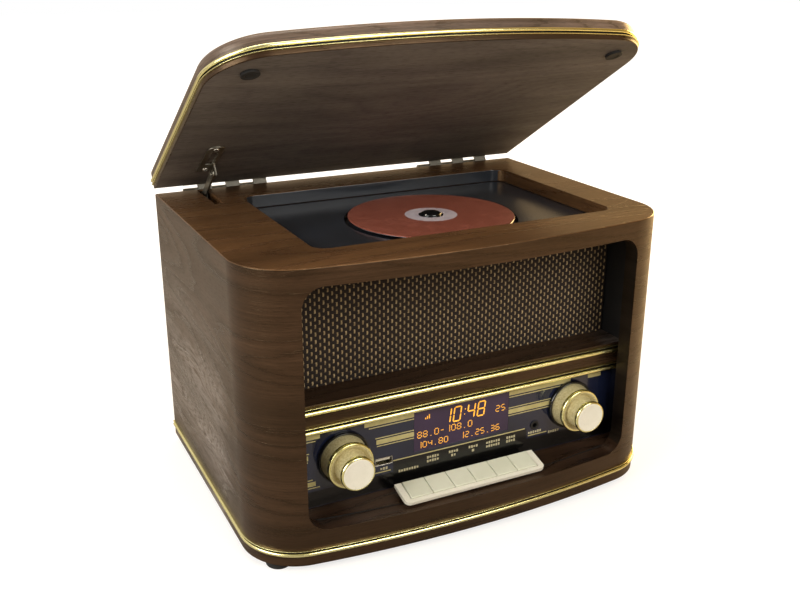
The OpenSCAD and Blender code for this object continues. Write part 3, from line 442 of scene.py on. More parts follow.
class Finish(Enum):
    """Every finish on the object, named for what it is made of and how.

    A veneer has its dark, middle and light tone. A surface has its two tones, then the size of its drifts,
    the size and depth of its grit in millimetres, its roughness and how much that wanders.
    """

    # Ash veneer stained walnut and satin lacquered: dark brown flame figure under a soft warm sheen; on the
    # flat sides lower down a pale sheen is painted in
    VENEER = Veneer("stained_veneer_lacquered", "#1f150e", "#271a12", "#322319", side_sheen="#756d68")
    # The same stain on the lid and top board, painted lighter for the light falling on the level faces:
    # warmer and evener
    TOP_VENEER = Veneer(
        "top_veneer_painted_light", "#4f3722", "#543a24", "#5b4027", figure_mm=(360.0, 60.0), dulling=0.05
    )
    # Rim of the lid, end grain under lacquer: greyer than its faces
    LID_RIM = Veneer("rim_veneer_lacquered", "#4b3e33", "#5c4c40", "#66554a", tint="#fff0e0")
    # Underside of the lid, matt: the same stain painted lighter and greyer for the bounce light and neutral
    # sheen it catches, and even
    LID_LINING = Veneer(
        "lining_veneer_painted_light",
        "#5d5551",
        "#665e59",
        "#6d655e",
        figure_mm=(340.0, 70.0),
        streak=0.1,
        roughness=0.74,
        dulling=0.06,
        tint="#ffffff",
    )
    # Edge band round the openings, stained nearly black: the cut-outs read as dark lines
    EDGE_BAND = Veneer(
        "edge_band_ebonised", "#0b0908", "#120f0d", "#191512", pore_mm=(4.0, 0.5), roughness=0.42
    )
    # ABS with vacuum-plated gold: pale greenish yellow mirror
    GOLD = Surface("gold_plated_abs", "#f5f0b6", "#eee8a8", 60, 8.0, 0.0003, 0.22, 0.006, metallic=1.0)
    # Painted shade in the groove between two ridges: dark bronze, a dark line along the trim
    GROOVE = Surface(
        "groove_painted_shade", "#1b150d", "#241d12", 12, 1.0, 0.002, 0.42, 0.05, metallic=0.5
    )
    # Ivory ABS, moulded and lightly polished: warm cream with a soft highlight
    IVORY = Surface("moulded_ivory_abs", "#e5e1d3", "#dedac9", 22, 0.7, 0.006, 0.3, 0.05, ior=1.54, coat=0.15)
    # Champagne lacquer on the knobs' drum and dish, spun: fine dotted grain
    CHAMPAGNE = Surface(
        "spun_champagne_lacquer", "#b8ab7c", "#dad0a4", 1.1, 0.9, 0.03, 0.36, 0.06, metallic=0.2
    )
    # Ivory ABS of the keys, painted a shade darker and greener than the knobs' ivory as shade on the keys
    KEY_IVORY = Surface("key_abs_painted_shade", "#d6d7c4", "#cfd0bb", 18, 0.6, 0.006, 0.34, 0.05, ior=1.54)
    # Acrylic panel printed dark blue on its back: deep gloss
    PANEL = Surface(
        "back_printed_acrylic", "#12172a", "#1a2038", 40, 3.0, 0.002, 0.14, 0.03, ior=1.49, coat=0.4
    )
    # Black band printed over the panel's blue, and black painted as shade along the panel's foot
    PANEL_BAND = Surface("black_ink_and_painted_shade", "#050506", "#09090a", 20, 1.0, 0.003, 0.16, 0.03)
    # Bronze-gold screen ink: flat, slightly metallic lines
    INK_GOLD = Surface("gold_screen_ink", "#b5aa74", "#c2b883", 6, 0.5, 0.004, 0.38, 0.06, metallic=0.25)
    # Pale screen ink of the key marks
    INK_PALE = Surface("pale_screen_ink", "#aca483", "#bab291", 4, 0.4, 0.003, 0.45, 0.05)
    # Violet display window, tinted acrylic: smoky gloss
    WINDOW = Surface("tinted_acrylic_window", "#33263c", "#3b2c46", 26, 2.0, 0.002, 0.12, 0.03, ior=1.49)
    # Amber display segments, lit from behind
    AMBER = Surface("lit_amber_segment", "#f0a52e", "#ffb840", 5, 0.8, 0.001, 0.5, 0.05, glow=0.7)
    # Slate ABS of the disc deck, moulded and polished: nearly black, with a soft reflection
    DECK = Surface("moulded_slate_abs", "#24272c", "#2b2f36", 40, 12.0, 0.0001, 0.22, 0.004, ior=1.54)
    # Gloss black ABS of the knob surrounds and the hub: deep black mirror
    GLOSS_BLACK = Surface(
        "moulded_gloss_black_abs", "#08090b", "#0c0d10", 30, 5.0, 0.001, 0.16, 0.02, ior=1.54
    )
    # Spark-eroded black ABS: fine matt grain
    BLACK_PLASTIC = Surface("grained_black_abs", "#0a0a0b", "#0f0f10", 16, 0.5, 0.02, 0.5, 0.08)
    # Black rubber feet and lid pads, compression moulded: dull, dusty
    RUBBER = Surface("moulded_rubber", "#111112", "#1b1b1b", 6, 0.4, 0.03, 0.78, 0.08, ior=1.52)
    # Hardboard rear panel, painted black: fibrous and dull
    HARDBOARD = Surface("painted_hardboard", "#121113", "#1d1b1c", 3.0, 0.8, 0.05, 0.66, 0.1)
    # Rolled steel hinges and stay with an antique bronze plating: dull and streaky
    HINGE_STEEL = Surface(
        "antique_plated_steel", "#8f8b80", "#a19c90", 7, 1.2, 0.015, 0.42, 0.1, 1.0, stretch=(0.3, 1, 1)
    )
    # Nickel-plated steel of screws and sockets: bright with fine scratches
    NICKEL = Surface("nickel_plated_steel", "#bdb9b0", "#cdc9bf", 5, 0.5, 0.005, 0.27, 0.07, metallic=1.0)
    # Turned and ground steel rods: fine rings
    GROUND_STEEL = Surface(
        "ground_steel", "#b4b6b8", "#c6c8ca", 5, 0.5, 0.004, 0.2, 0.05, metallic=1.0, stretch=(1, 4, 1)
    )
    # Stamped and zinc-plated steel of speaker baskets: faint bluish patches
    ZINC = Surface("zinc_plated_steel", "#8d9296", "#a2a49e", 9, 1.0, 0.01, 0.38, 0.08, metallic=1.0)
    # Cotton yarn dyed nearly black: soft and dull with a fibre fuzz
    DARK_YARN = Surface("dark_cotton_yarn", "#150c06", "#21150c", 1.6, 0.35, 0.06, 0.88, 0.08)
    # Undyed flax yarn: straw-coloured with darker slubs
    PALE_YARN = Surface("pale_flax_yarn", "#ad9670", "#7d6747", 2.4, 0.35, 0.06, 0.84, 0.08)
    # Pressed paper pulp of the cones
    PAPER = Surface("pressed_paper_cone", "#1c1b1a", "#292725", 2.5, 0.7, 0.05, 0.88, 0.06)
    # Glass-fibre board under green solder mask
    CIRCUIT = Surface("solder_masked_board", "#0d4a2b", "#125c36", 4.0, 1.2, 0.02, 0.35, 0.08, coat=0.2)
    # Stacked core sheets and varnished windings
    CORE = Surface(
        "laminated_core_steel", "#4d4f52", "#2f3032", 2.0, 0.5, 0.06, 0.5, 0.08, 0.7, stretch=(0.1, 1, 6)
    )
    # Nylon gear, moulded: milky
    NYLON = Surface("moulded_nylon", "#d8d3c2", "#cbc6b3", 6, 0.6, 0.01, 0.42, 0.05, ior=1.53)
    # Clear polycarbonate ring at the disc's middle, seen over the deck: pale grey gloss
    CLEAR_RING = Surface("moulded_polycarbonate", "#b5a9b3", "#c4bbc2", 8, 1.0, 0.002, 0.12, 0.03, ior=1.58)
    # Screen-printed disc face
    DISC_INK = DiscFace("screen_printed_disc", "#7c4335", "#8c5042", DISC_CENTRE)


@cache
def material(finish: Finish) -> bpy.types.Material:
    """The material of a finish, made once."""
    return finish.value.build()


# ---------- mesh building ----------


class Toward(Enum):
    """Where a turned piece's axis points."""

    UP = Vector((0, 0, 1))
    DOWN = Vector((0, 0, -1))
    FRONT = Vector((0, -1, 0))
    REAR = Vector((0, 1, 0))
    LEFT = Vector((-1, 0, 0))
    RIGHT = Vector((1, 0, 0))

    def across(self) -> tuple[Vector, Vector]:
        """Two directions square to it and to each other."""
        first = Vector((0, 1, 0)) if self.value.x else Vector((1, 0, 0))
        return first, self.value.cross(first)


def filleted(points: Profile, radius: float, steps: int = 3, closed: bool = False) -> Profile:
    """Rounds the corners of a line of points.

    Args:
        points: the line.
        radius: distance from a corner at which its rounding starts, at most a third of the side.
        steps: points in each rounding, less one.
        closed: whether the line closes on itself.

    Returns:
        The line with its corners rounded.
    """
    out: Profile = []
    n = len(points)
    for i, p in enumerate(points):
        if not closed and i in (0, n - 1):
            out.append(p)
            continue
        here, before, after = Vector(p), Vector(points[i - 1]), Vector(points[(i + 1) % n])
        to_before, to_after = before - here, after - here
        reach = min(radius, to_before.length * 0.45, to_after.length * 0.45)
        if reach < 1e-4:
            out.append(p)
            continue
        a, b = here + to_before.normalized() * reach, here + to_after.normalized() * reach
        for k in range(steps + 1):
            t = k / steps
            q = a * (1 - t) ** 2 + here * 2 * t * (1 - t) + b * t * t
            out.append((q.x, q.y))
    return out


class Shape:
    """A mesh being built in the cabinet's millimetres."""

    WELD = 0.002  # points of a CAD mesh nearer than this are one
    FLAT = math.radians(0.4)  # its faces within this angle are one
    SHARP = math.radians(28.0)  # an edge below this angle belongs to a curve and isn't rounded

    def __init__(self) -> None:
        """Starts an empty mesh."""
        self.bm = bmesh.new()

    @classmethod
    def of_cad(cls, node: str) -> "Shape":
        """A copy of a CAD node's mesh with its flat faces whole again.

        Args:
            node: the CAD node's name.

        Returns:
            The shape, in millimetres.
        """
        shape = cls()
        bm = shape.bm
        bm.from_mesh(frame["nodes"][node].data)
        bmesh.ops.transform(bm, matrix=FROM_FRAME, verts=bm.verts)
        bmesh.ops.remove_doubles(bm, verts=bm.verts, dist=cls.WELD)
        bmesh.ops.dissolve_degenerate(bm, edges=bm.edges, dist=cls.WELD)
        bmesh.ops.dissolve_limit(bm, angle_limit=cls.FLAT, verts=bm.verts, edges=bm.edges)
        return shape

    def soften(
        self, width: float, segments: int = 2, keep: Callable[[Vector], bool] | None = None
    ) -> "Shape":
        """Rounds the sharp edges over.

        Args:
            width: how far the rounding reaches from the edge.
            segments: faces across the rounding.
            keep: says from an edge's middle whether it is rounded; all are when None.

        Returns:
            The shape itself.
        """
        edges = [
            e
            for e in self.bm.edges
            if e.is_manifold
            and e.calc_face_angle(0.0) > self.SHARP
            and (keep is None or keep((e.verts[0].co + e.verts[1].co) / 2))
        ]
        bmesh.ops.bevel(
            self.bm,
            geom=edges,
            offset=width,
            offset_type="OFFSET",
            segments=segments,
            profile=0.5,
            affect="EDGES",
            clamp_overlap=True,
        )
        return self

    def loft(
        self,
        rings: Sequence[Sequence[Vector]],
        closed: bool = True,
        looped: bool = False,
        caps: bool = True,
        slot: int = 0,
    ) -> "Shape":
        """Joins rings of points with faces.

        Args:
            rings: the rings, each with the same number of points.
            closed: whether each ring closes on itself.
            looped: whether the last ring joins the first.
            caps: whether the first and last rings are filled.
            slot: material slot of the faces.

        Returns:
            The shape itself.
        """
        bm = self.bm
        made = [[bm.verts.new(p) for p in ring] for ring in rings]
        n = len(made[0])
        pairs = list(zip(made, made[1:])) + ([(made[-1], made[0])] if looped else [])
        for a, b in pairs:
            for i in range(n if closed else n - 1):
                j = (i + 1) % n
                bm.faces.new((a[i], a[j], b[j], b[i])).material_index = slot
        if caps and closed and not looped:
            bm.faces.new(list(reversed(made[0]))).material_index = slot
            bm.faces.new(made[-1]).material_index = slot
        return self

    def lathe(
        self,
        profile: Profile,
        origin: Sequence[float],
        toward: Toward = Toward.UP,
        steps: int = 96,
        closed: bool = False,
        slot: int = 0,
    ) -> "Shape":
        """Turns a profile about an axis.

        Args:
            profile: distance from the axis and height along it, for each point.
            origin: where height 0 lies on the axis.
            toward: direction of the axis.
            steps: faces round the axis.
            closed: whether the profile closes on itself, as a ring's does.
            slot: material slot of the faces.

        Returns:
            The shape itself.
        """
        d = toward.value
        u, v = toward.across()
        base = Vector(origin)
        rings = []
        for k in range(steps):
            a = 2 * math.pi * k / steps
            side = u * math.cos(a) + v * math.sin(a)
            rings.append([base + side * r + d * h for r, h in profile])
        start = len(self.bm.verts)
        self.loft(rings, closed=closed, looped=True, caps=False, slot=slot)
        self.bm.verts.ensure_lookup_table()
        bmesh.ops.remove_doubles(self.bm, verts=self.bm.verts[start:], dist=0.0005)
        return self

    def box(self, low: Sequence[float], high: Sequence[float], slot: int = 0) -> "Shape":
        """A block between two corners."""
        corners = [(low[0], low[1]), (high[0], low[1]), (high[0], high[1]), (low[0], high[1])]
        return self.loft([[Vector((x, y, z)) for x, y in corners] for z in (low[2], high[2])], slot=slot)

    def plate(self, outline: Profile, y: float, thick: float) -> "Shape":
        """A thin upright plate, seen from the front.

        Args:
            outline: its points as (x, z), anticlockwise from the front.
            y: its front face.
            thick: its thickness.

        Returns:
            The shape itself.
        """
        return self.loft([[Vector((x, v, z)) for x, z in outline] for v in (y + thick, y)])

    def turn(self, matrix: Matrix) -> "Shape":
        """Moves everything built so far."""
        bmesh.ops.transform(self.bm, matrix=matrix, verts=self.bm.verts)
        return self

    def lay_veneer(self, shift: Sequence[float] = (0.0, 0.0, 0.0)) -> "Shape":
        """Lays veneer coordinates on every face: round the outline on upright faces, flat on level ones.

        Args:
            shift: offset of the level faces in millimetres, so that no two boards show the same figure.

        Returns:
            The shape itself.
        """
        layer = self.bm.loops.layers.float_vector.new("veneer")
        offset = Vector(shift)
        self.bm.normal_update()
        for face in self.bm.faces:
            level = abs(face.normal.z) > 0.72
            for loop in face.loops:
                p = loop.vert.co
                upright = Vector((PLAN.along(p.x, p.y), p.z - PLAN.height, 40))
                loop[layer] = Vector((p.x, p.y, 0)) + offset if level else upright
        return self

    def piece(
        self, name: str, finishes: Sequence[Finish], node: str | None = None, smooth: float = 40.0
    ) -> None:
        """Ends the building: makes the object, dresses it and hangs it on its body.

        Args:
            name: the piece's name.
            finishes: one finish for each material slot.
            node: the CAD node that it stands for, which gives its body and is hidden in its place; None for
            print and fittings that the cabinet alone carries.
            smooth: edges above this angle in degrees stay sharp.
        """
        bm = self.bm
        bmesh.ops.transform(bm, matrix=TO_FRAME, verts=bm.verts)
        bmesh.ops.recalc_face_normals(bm, faces=bm.faces)
        for face in bm.faces:
            face.smooth = True
        for edge in bm.edges:
            edge.smooth = not (edge.is_manifold and edge.calc_face_angle(0.0) > math.radians(smooth))
        mesh = bpy.data.meshes.new(name)
        bm.to_mesh(mesh)
        bm.free()
        obj = bpy.data.objects.new(name, mesh)
        bpy.context.scene.collection.objects.link(obj)
        for finish in finishes:
            mesh.materials.append(material(finish))
        obj.modifiers.new("weighted_normals", "WEIGHTED_NORMAL").keep_sharp = True
        body = BODY_OF.get(node, "cabinet")
        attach(obj, body)
        if node:
            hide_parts(node)
        LOG.info("%s: %d faces on %s", name, len(mesh.polygons), body)


def refine(
    node: str, made: str, finish: Finish, width: float, segments: int = 2, smooth: float = 40.0
) -> None:
    """Puts a copy of a CAD node with its sharp edges rounded over in the node's place.

    Args:
        node: the CAD node's name.
        made: how the real one is made, which ends the piece's name.
        finish: what it is made of.
        width: how far the rounding reaches from the edge.
        segments: faces across the rounding.
        smooth: edges above this angle in degrees stay sharp.
    """
    Shape.of_cad(node).soften(width, segments).piece(f"{node}_{made}", [finish], node, smooth)


def dress(finish: Finish, *nodes: str) -> None:
    """Gives CAD nodes that stay in view their finish.

    Args:
        finish: what they are made of.
        nodes: their names.
    """
    for node in nodes:
        for holder in frame["nodes"][node].material_slots:
            holder.material = material(finish)
        LOG.info("%s: dressed", node)


# ---------- sub-assemblies ----------


@dataclass
class WoodCase:
    """Walls, top board, plinth and fascia rail."""

    deck_z: float = 187.5  # just over the deck; above it a cut-out is the disc well
    seam_z: float = 195.0  # top board and walls meet here; their joint is sanded flush
    plinth_z: float = 11.6  # walls and plinth meet here, behind the base trim
    wall: float = 12.0  # a cut-out's faces are farther than this from the sides
    rear: float = 8.0  # and farther than this from the rear
    inner: float = 1.2  # and this far inside the outline
    joint: float = 0.3  # edges this near to a joint stay sharp
    skin: float = 0.4  # edges nearer than this to the outline show from outside
    walls_edge: float = 1.1  # how far the edges are rounded
    top_edge: float = 0.9
    plinth_edge: float = 1.4
    rail_edge: float = 0.7
    sole_z: float = 0.5  # the plinth's edges under this are rounded
    rail_y: float = -198.0  # the rail's edges in front of this are rounded

    def off_seam(self, p: Vector) -> bool:
        """True for an edge that isn't at a flush joint or at the rear."""
        return min(abs(p.z - self.seam_z), abs(p.z - self.plinth_z)) > self.joint and p.y < -0.5

    def on_skin(self, p: Vector) -> bool:
        """True for an edge of the walls that shows from outside."""
        return self.off_seam(p) and PLAN.inset(p.x, p.y) < self.skin

    def band_edges(self, shape: Shape) -> Shape:
        """Gives the upright faces inside a cut-out the second finish and the outer rim the third.

        The sides of the disc well keep the first one.

        Args:
            shape: the walls or the top board.

        Returns:
            The shape itself.
        """
        shape.bm.normal_update()
        for face in shape.bm.faces:
            at, n = face.calc_center_median(), face.normal
            inside = abs(at.x) < PLAN.width / 2 - self.wall and at.y < -self.rear
            if inside and PLAN.inset(at.x, at.y) > self.inner and abs(n.z) < 0.6:
                face.material_index = 0 if at.z > self.deck_z and abs(n.x) > 0.7 else 1
            elif abs(n.z) < 0.5:
                face.material_index = 2
        return shape

    def build(self) -> None:
        """Builds the four wooden pieces."""
        veneer = Finish.VENEER
        walls = self.band_edges(Shape.of_cad("cabinet_shell").soften(self.walls_edge, 3, self.on_skin))
        walls.lay_veneer().piece("walls_veneered", [veneer, Finish.EDGE_BAND, veneer], "cabinet_shell")
        top = self.band_edges(Shape.of_cad("top_board").soften(self.top_edge, 3, self.off_seam))
        top.lay_veneer((120, 31, 3)).piece(
            "top_board_veneered", [Finish.TOP_VENEER, Finish.DECK, veneer], "top_board"
        )
        plinth = Shape.of_cad("base_board").soften(self.plinth_edge, 3, lambda p: p.z < self.sole_z)
        plinth.lay_veneer((40, 90, 5)).piece("plinth_veneered", [veneer], "base_board")
        rail = Shape.of_cad("fascia_rail").soften(self.rail_edge, 3, lambda p: p.y < self.rail_y)
        rail.lay_veneer((77, 12, 9)).piece("rail_veneered", [veneer], "fascia_rail")


@dataclass
class GoldTrim:
    """Trims of one section: a broad round ridge, a groove painted dark as its shade and a fine ridge above
    it.
    """

    height: float = 4.6
    proud: float = 1.3
    seat: float = 6.0  # how deep a trim sits in the wood
    base_z: float = 7.0  # underside of the base trim
    bar_height: float = 5.5
    bar_proud: float = 2.0
    bar_back: float = 3.0  # points of the section deeper than this lie on the bar's rear face
    broad: float = 0.57  # the broad ridge's share of the height
    fine: float = 0.13  # the fine ridge's share
    fullness: float = 0.7  # power of the ridges' cosine; below 1 they are fuller than a circle
    arc: int = 10  # steps round a ridge
    recess: float = 0.2  # how far the groove's floor lies behind the wood
    sharp: float = 60.0  # edges above this angle stay sharp

    def section(self, height: float, proud: float) -> Profile:
        """Section of a trim as distance outwards and height above its underside.

        Args:
            height: its height.
            proud: how far its ridges stand out.

        Returns:
            A closed line of points.
        """
        points: Profile = [(-self.seat, 0.0)]
        for low, high in ((0.0, self.broad), (1.0 - self.fine, 1.0)):
            half = height * (high - low) / 2
            for i in range(self.arc + 1):
                a = math.pi * (i / self.arc - 0.5)
                swell = math.cos(a) ** self.fullness if 0 < i < self.arc else 0.0
                out = (proud + self.recess) * swell - self.recess
                points.append((out, height * low + half + half * math.sin(a)))
        return [*points, (-self.seat, height)]

    def lay(self, shape: Shape, rings: Sequence[Sequence[Vector]]) -> Shape:
        """Adds a trim, with its groove in the second finish, which paints the groove's shade.

        Args:
            shape: the mesh that gets it.
            rings: its section at each place along it.

        Returns:
            The mesh.
        """
        start = len(shape.bm.faces)
        shape.loft(rings)
        shape.bm.faces.ensure_lookup_table()
        for k, face in enumerate(shape.bm.faces[start:]):
            # the groove's faces get the painted shade
            if len(face.verts) == 4 and 0 <= k % len(rings[0]) - self.arc < 3:
                face.material_index = 1
        return shape

    def band(self, low: float, over: bool = False) -> Shape:
        """The trim along the cabinet's outline, open at the rear.

        Args:
            low: height of its underside.
            over: whether its broad ridge is the upper one.

        Returns:
            The shape.
        """
        lines = [
            (PLAN.outline(out), low + (self.height - z if over else z))
            for out, z in self.section(self.height, self.proud)
        ]
        rings = [[Vector((*line[i], z)) for line, z in lines] for i in range(len(lines[0][0]))]
        return self.lay(Shape(), rings)

    def bars(self) -> Shape:
        """The two straight trims of the fascia rail."""
        low, high = (FROM_FRAME @ Vector(corner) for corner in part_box("fascia_bars"))
        shape = Shape()
        for z in (low.z, high.z - self.bar_height):
            rings = []
            for x in (low.x, high.x):
                ring = []
                for out, up in self.section(self.bar_height, self.bar_proud):
                    y = max(low.y + self.bar_proud - out, low.y) if out > -self.bar_back else high.y
                    ring.append(Vector((x, y, z + up)))
                rings.append(ring)
            self.lay(shape, rings)
        return shape

    def build(self) -> None:
        """Builds the base trim and the two bars of the fascia rail."""
        finishes = [Finish.GOLD, Finish.GROOVE]
        self.band(self.base_z).piece("base_trim_ridged", finishes, "base_trim", self.sharp)
        self.bars().piece("fascia_bars_ridged", finishes, "fascia_bars", self.sharp)


@dataclass
class Lid:
    """Lid with its bowed outline, its trim and the pads that it closes on."""

    lip: float = 3.0  # height of the wood under the trim
    top_r: float = 4.5
    top_steps: int = 8
    edge: float = 0.7
    pad_x: float = 130.0
    pad_y: float = -196.0
    trim: GoldTrim = field(default_factory=GoldTrim)

    def panel(self) -> Shape:
        """The wooden lid, closed, built as one skin from its underside to its top."""
        low, high, edge, seat = PLAN.lid_z, PLAN.lid_z + PLAN.lid_t, self.edge, -self.trim.seat
        groove = low + self.lip
        over = groove + self.trim.height
        levels = [(-edge, low), (-edge * 0.3, low + edge * 0.3), (0.0, low + edge)]
        levels += [(0.0, groove), (seat, groove), (seat, over), (0.0, over)]
        for i in range(self.top_steps + 1):
            a = math.pi / 2 * i / self.top_steps
            levels.append((self.top_r * (math.cos(a) - 1), high - self.top_r + self.top_r * math.sin(a)))
        rings = []
        for grow, z in levels:
            outline = PLAN.outline(grow, 0.0 if groove <= z <= over else -grow)
            rings.append([Vector((x, y, z)) for x, y in outline])
        return Shape().loft(rings)

    def build(self) -> None:
        """Builds the lid's three pieces and opens them."""
        pose = PLAN.lid_pose()
        panel = self.panel()
        panel.bm.normal_update()
        for face in panel.bm.faces:
            z = face.calc_center_median().z - PLAN.lid_z
            face.material_index = 1 if z < 0.05 else 2 if z < self.lip else 3 if face.normal.z < 0.5 else 0
        finishes = [Finish.TOP_VENEER, Finish.LID_LINING, Finish.VENEER, Finish.LID_RIM]
        panel.lay_veneer((15, 260, 20)).turn(pose).piece("lid_veneered", finishes, "lid_panel")
        trim = self.trim.band(PLAN.lid_z + self.lip, over=True).turn(pose)
        trim.piece("lid_trim_ridged", [Finish.GOLD, Finish.GROOVE], "lid_trim", self.trim.sharp)
        pads = Shape()
        profile = filleted([(0, 0), (5.9, 0), (5.9, 1.85), (3.6, 1.85), (3.3, 1.5), (0, 1.5)], 0.5)
        for s in (-1, 1):
            pads.lathe(profile, (s * self.pad_x, self.pad_y, PLAN.lid_z), Toward.DOWN, 48)
        pads.turn(pose).piece("lid_pads_moulded", [Finish.RUBBER], "lid_pads")


@dataclass
class Knob:
    """Ivory knob with two gold rings on the control panel."""

    name: str
    side: int  # -1 at the left, 1 at the right
    shaft_end: float  # how far behind the panel its shaft ends
    knob_r: float = 16.1
    cap_r: float = 11.8
    cap_t: float = 3.3  # how deep the cap's ivory part is
    out: float = 26.0
    skirt_t: float = 14.5  # from the cap's face back to the end of the skirt
    bore: float = 7.0  # from the cap's face back to the end of the shaft
    shaft_r: float = 3.0
    steps: int = 128

    def at(self, lift: float = 0.0) -> tuple[float, float, float]:
        """A point on the knob's axis, that far in front of the panel."""
        return (self.side * PLAN.knob_x, PLAN.panel_y - lift, PLAN.knob_z)

    def body_profile(self) -> Profile:
        """Section of the ivory body, from its bore over the skirt to the middle of its cap."""
        k, c, f, o = self.knob_r, self.cap_r, self.out - self.skirt_t, self.out
        line = [(self.shaft_r, 3.2), (14.5, 3.2), (14.5, 1.2), (PLAN.ring_r - 1.9, 1.2), (k - 0.2, 4.0)]
        line += [(k - 0.7, f), (k - 0.7, f + 3), (k - 2.4, f + 3), (c - 0.6, f + 0.5), (c - 0.9, o - 3.2)]
        line += [(c - 0.9, o - 0.4), (c - 1.9, o), (c - 5.5, o - 0.35), (0, o - 0.5)]
        return filleted(line, 0.9, 4)

    def ring_profiles(self) -> list[Profile]:
        """Sections of the gold rings, one at the skirt's end and one round the cap."""
        k, c, f, o = self.knob_r, self.cap_r, self.out - self.skirt_t, self.out
        skirt = [(k - 0.75, f), (k - 0.2, f), (k, f + 0.8), (k, f + 2), (k - 0.5, f + 3.1)]
        skirt += [(k - 1.6, f + 3.1), (k - 1.6, f + 2.9), (k - 0.75, f + 2.9)]
        cap = [(c - 0.95, o - 3.2), (c - 0.2, o - 3.2), (c, o - 2.6), (c, o - 1.2), (c - 0.5, o - 0.3)]
        cap += [(c - 1.3, o - 0.05), (c - 1.3, o - 0.3), (c - 0.95, o - 0.4)]
        return [filleted(p, 0.5, 3, True) for p in (skirt, cap)]

    def build(self) -> None:
        """Builds the body, its gold rings and its shaft: steel on the left, moulded on the right."""
        knob = Shape().lathe(self.body_profile(), self.at(), Toward.FRONT, self.steps)
        length = self.shaft_end + self.out - self.bore
        rod: Profile = [(0.0, 0.0), (self.shaft_r - 0.3, 0.0), (self.shaft_r, 0.3), (self.shaft_r, length)]
        shaft = Shape() if self.side < 0 else knob
        shaft.lathe([*rod, (0.0, length)], self.at(-self.shaft_end), Toward.FRONT, 48)
        if shaft is not knob:
            shaft.piece("volume_shaft_turned", [Finish.NICKEL], "volume_shaft")
        for face in knob.bm.faces:
            lift = PLAN.panel_y - face.calc_center_median().y
            face.material_index = int(1.0 < lift < self.out - self.cap_t)
        knob.piece(f"{self.name}_knob_moulded", [Finish.IVORY, Finish.CHAMPAGNE], f"{self.name}_knob")
        rings = Shape()
        for profile in self.ring_profiles():
            rings.lathe(profile, self.at(), Toward.FRONT, self.steps, closed=True)
        rings.piece(f"{self.name}_rings_plated", [Finish.GOLD], f"{self.name}_rings", 60)


@dataclass(frozen=True)
class Yarn:
    """One of the cloth's two yarns."""

    pitch: float  # from one yarn to the next
    half_w: float  # half its width
    half_t: float  # half its thickness
    back: float  # how far its middle lies behind the cloth's
    wave: float  # how far it bends in and out
    slot: int

    def lay(self, shape: Shape, points: Sequence[Vector], across: Vector) -> None:
        """Adds one flat yarn along a line of points.

        Args:
            shape: the mesh that gets it.
            points: middle of the yarn.
            across: direction of its width.
        """
        wide, front = across * self.half_w, Vector((0, -self.half_t, 0))
        flat = wide * 0.5
        rings = [[p - wide, p - flat + front, p + flat + front, p + wide, p - front] for p in points]
        shape.loft(rings, caps=False, slot=self.slot)


@dataclass
class SpeakerFront:
    """Woven cloth on its baffle, with the two loudspeakers behind it."""

    half_w: float = 130.8
    low: float = 103.0
    high: float = 186.5
    face_y: float = -176.0
    middle: float = 1.0  # of the weave, behind its face
    back: float = 3.9  # rear of the cloth's dark backing
    pale: Yarn = Yarn(3.02, 0.6, 0.3, 0.14, 0.42, 0)
    dark: Yarn = Yarn(2.6, 1.22, 0.36, 0.0, 0.231, 1)

    def cloth(self) -> Shape:
        """Plain weave: each pale upright yarn passes over one dark level yarn and under the next."""
        shape = Shape()
        column, row = self.pale.pitch, self.dark.pitch
        y = self.face_y + self.middle
        columns = int(2 * self.half_w / column)
        rows = int((self.high - self.low) / row)
        left = -columns * column / 2
        for j in range(columns):
            x = left + (j + 0.5) * column
            points = []
            for i in range(2 * rows + 1):
                bend = self.pale.wave * math.cos(math.pi * (i / 2 + j))
                points.append(Vector((x, y + self.pale.back - bend, self.low + i * row / 2)))
            self.pale.lay(shape, points, Vector((1, 0, 0)))
        for i in range(rows + 1):
            z = self.low + i * row
            points = []
            for j in range(2 * columns + 1):
                bend = self.dark.wave * math.sin(math.pi * (j / 2 + i + 1))
                points.append(Vector((left + j * column / 2, y + self.dark.back - bend, z)))
            self.dark.lay(shape, points, Vector((0, 0, 1)))
        near, far = (-self.half_w, y + 0.7, self.low), (self.half_w, self.face_y + self.back, self.high - 0.1)
        return shape.box(near, far, self.dark.slot)

    def build(self) -> None:
        """Builds the cloth and dresses what is behind it."""
        self.cloth().piece("speaker_cloth_woven", [Finish.PALE_YARN, Finish.DARK_YARN], "speaker_cloth", 80)
        dress(Finish.HARDBOARD, "speaker_baffle")
        dress(Finish.ZINC, "speaker_left", "speaker_right")
        dress(Finish.PAPER, "speaker_cones")


@dataclass
class Recess:
    """Cheeks and floor of the front recess."""

    floor_z: float = 60.0  # level faces below this are the floor

    def build(self) -> None:
        """Builds the liner: black cheeks, and a floor faced with the cabinet's veneer."""
        liner = Shape.of_cad("recess_liner")
        for face in liner.bm.faces:
            face.material_index = int(face.normal.z > 0.4 and face.calc_center_median().z < self.floor_z)
        finishes = [Finish.BLACK_PLASTIC, Finish.VENEER]
        liner.lay_veneer().piece("recess_liner_faced", finishes, "recess_liner")


class Segment(Enum):
    """The seven bars of a digit: the digits that light it, and its ends in widths and half heights."""

    TOP = ("02356789", (0, 2), (1, 2))
    TOP_LEFT = ("045689", (0, 1), (0, 2))
    TOP_RIGHT = ("01234789", (1, 1), (1, 2))
    MIDDLE = ("2345689", (0, 1), (1, 1))
    LOW_LEFT = ("0268", (0, 0), (0, 1))
    LOW_RIGHT = ("013456789", (1, 0), (1, 1))
    BOTTOM = ("0235689", (0, 0), (1, 0))

    def dots(self) -> list[tuple[int, int]]:
        """The dots between its ends, where a digit is five dots wide and seven high."""
        (x0, z0), (_, z1) = self.value[1:]
        return [(c, 3 * z0) for c in (1, 2, 3)] if z0 == z1 else [(4 * x0, 3 * z0 + k) for k in (1, 2)]


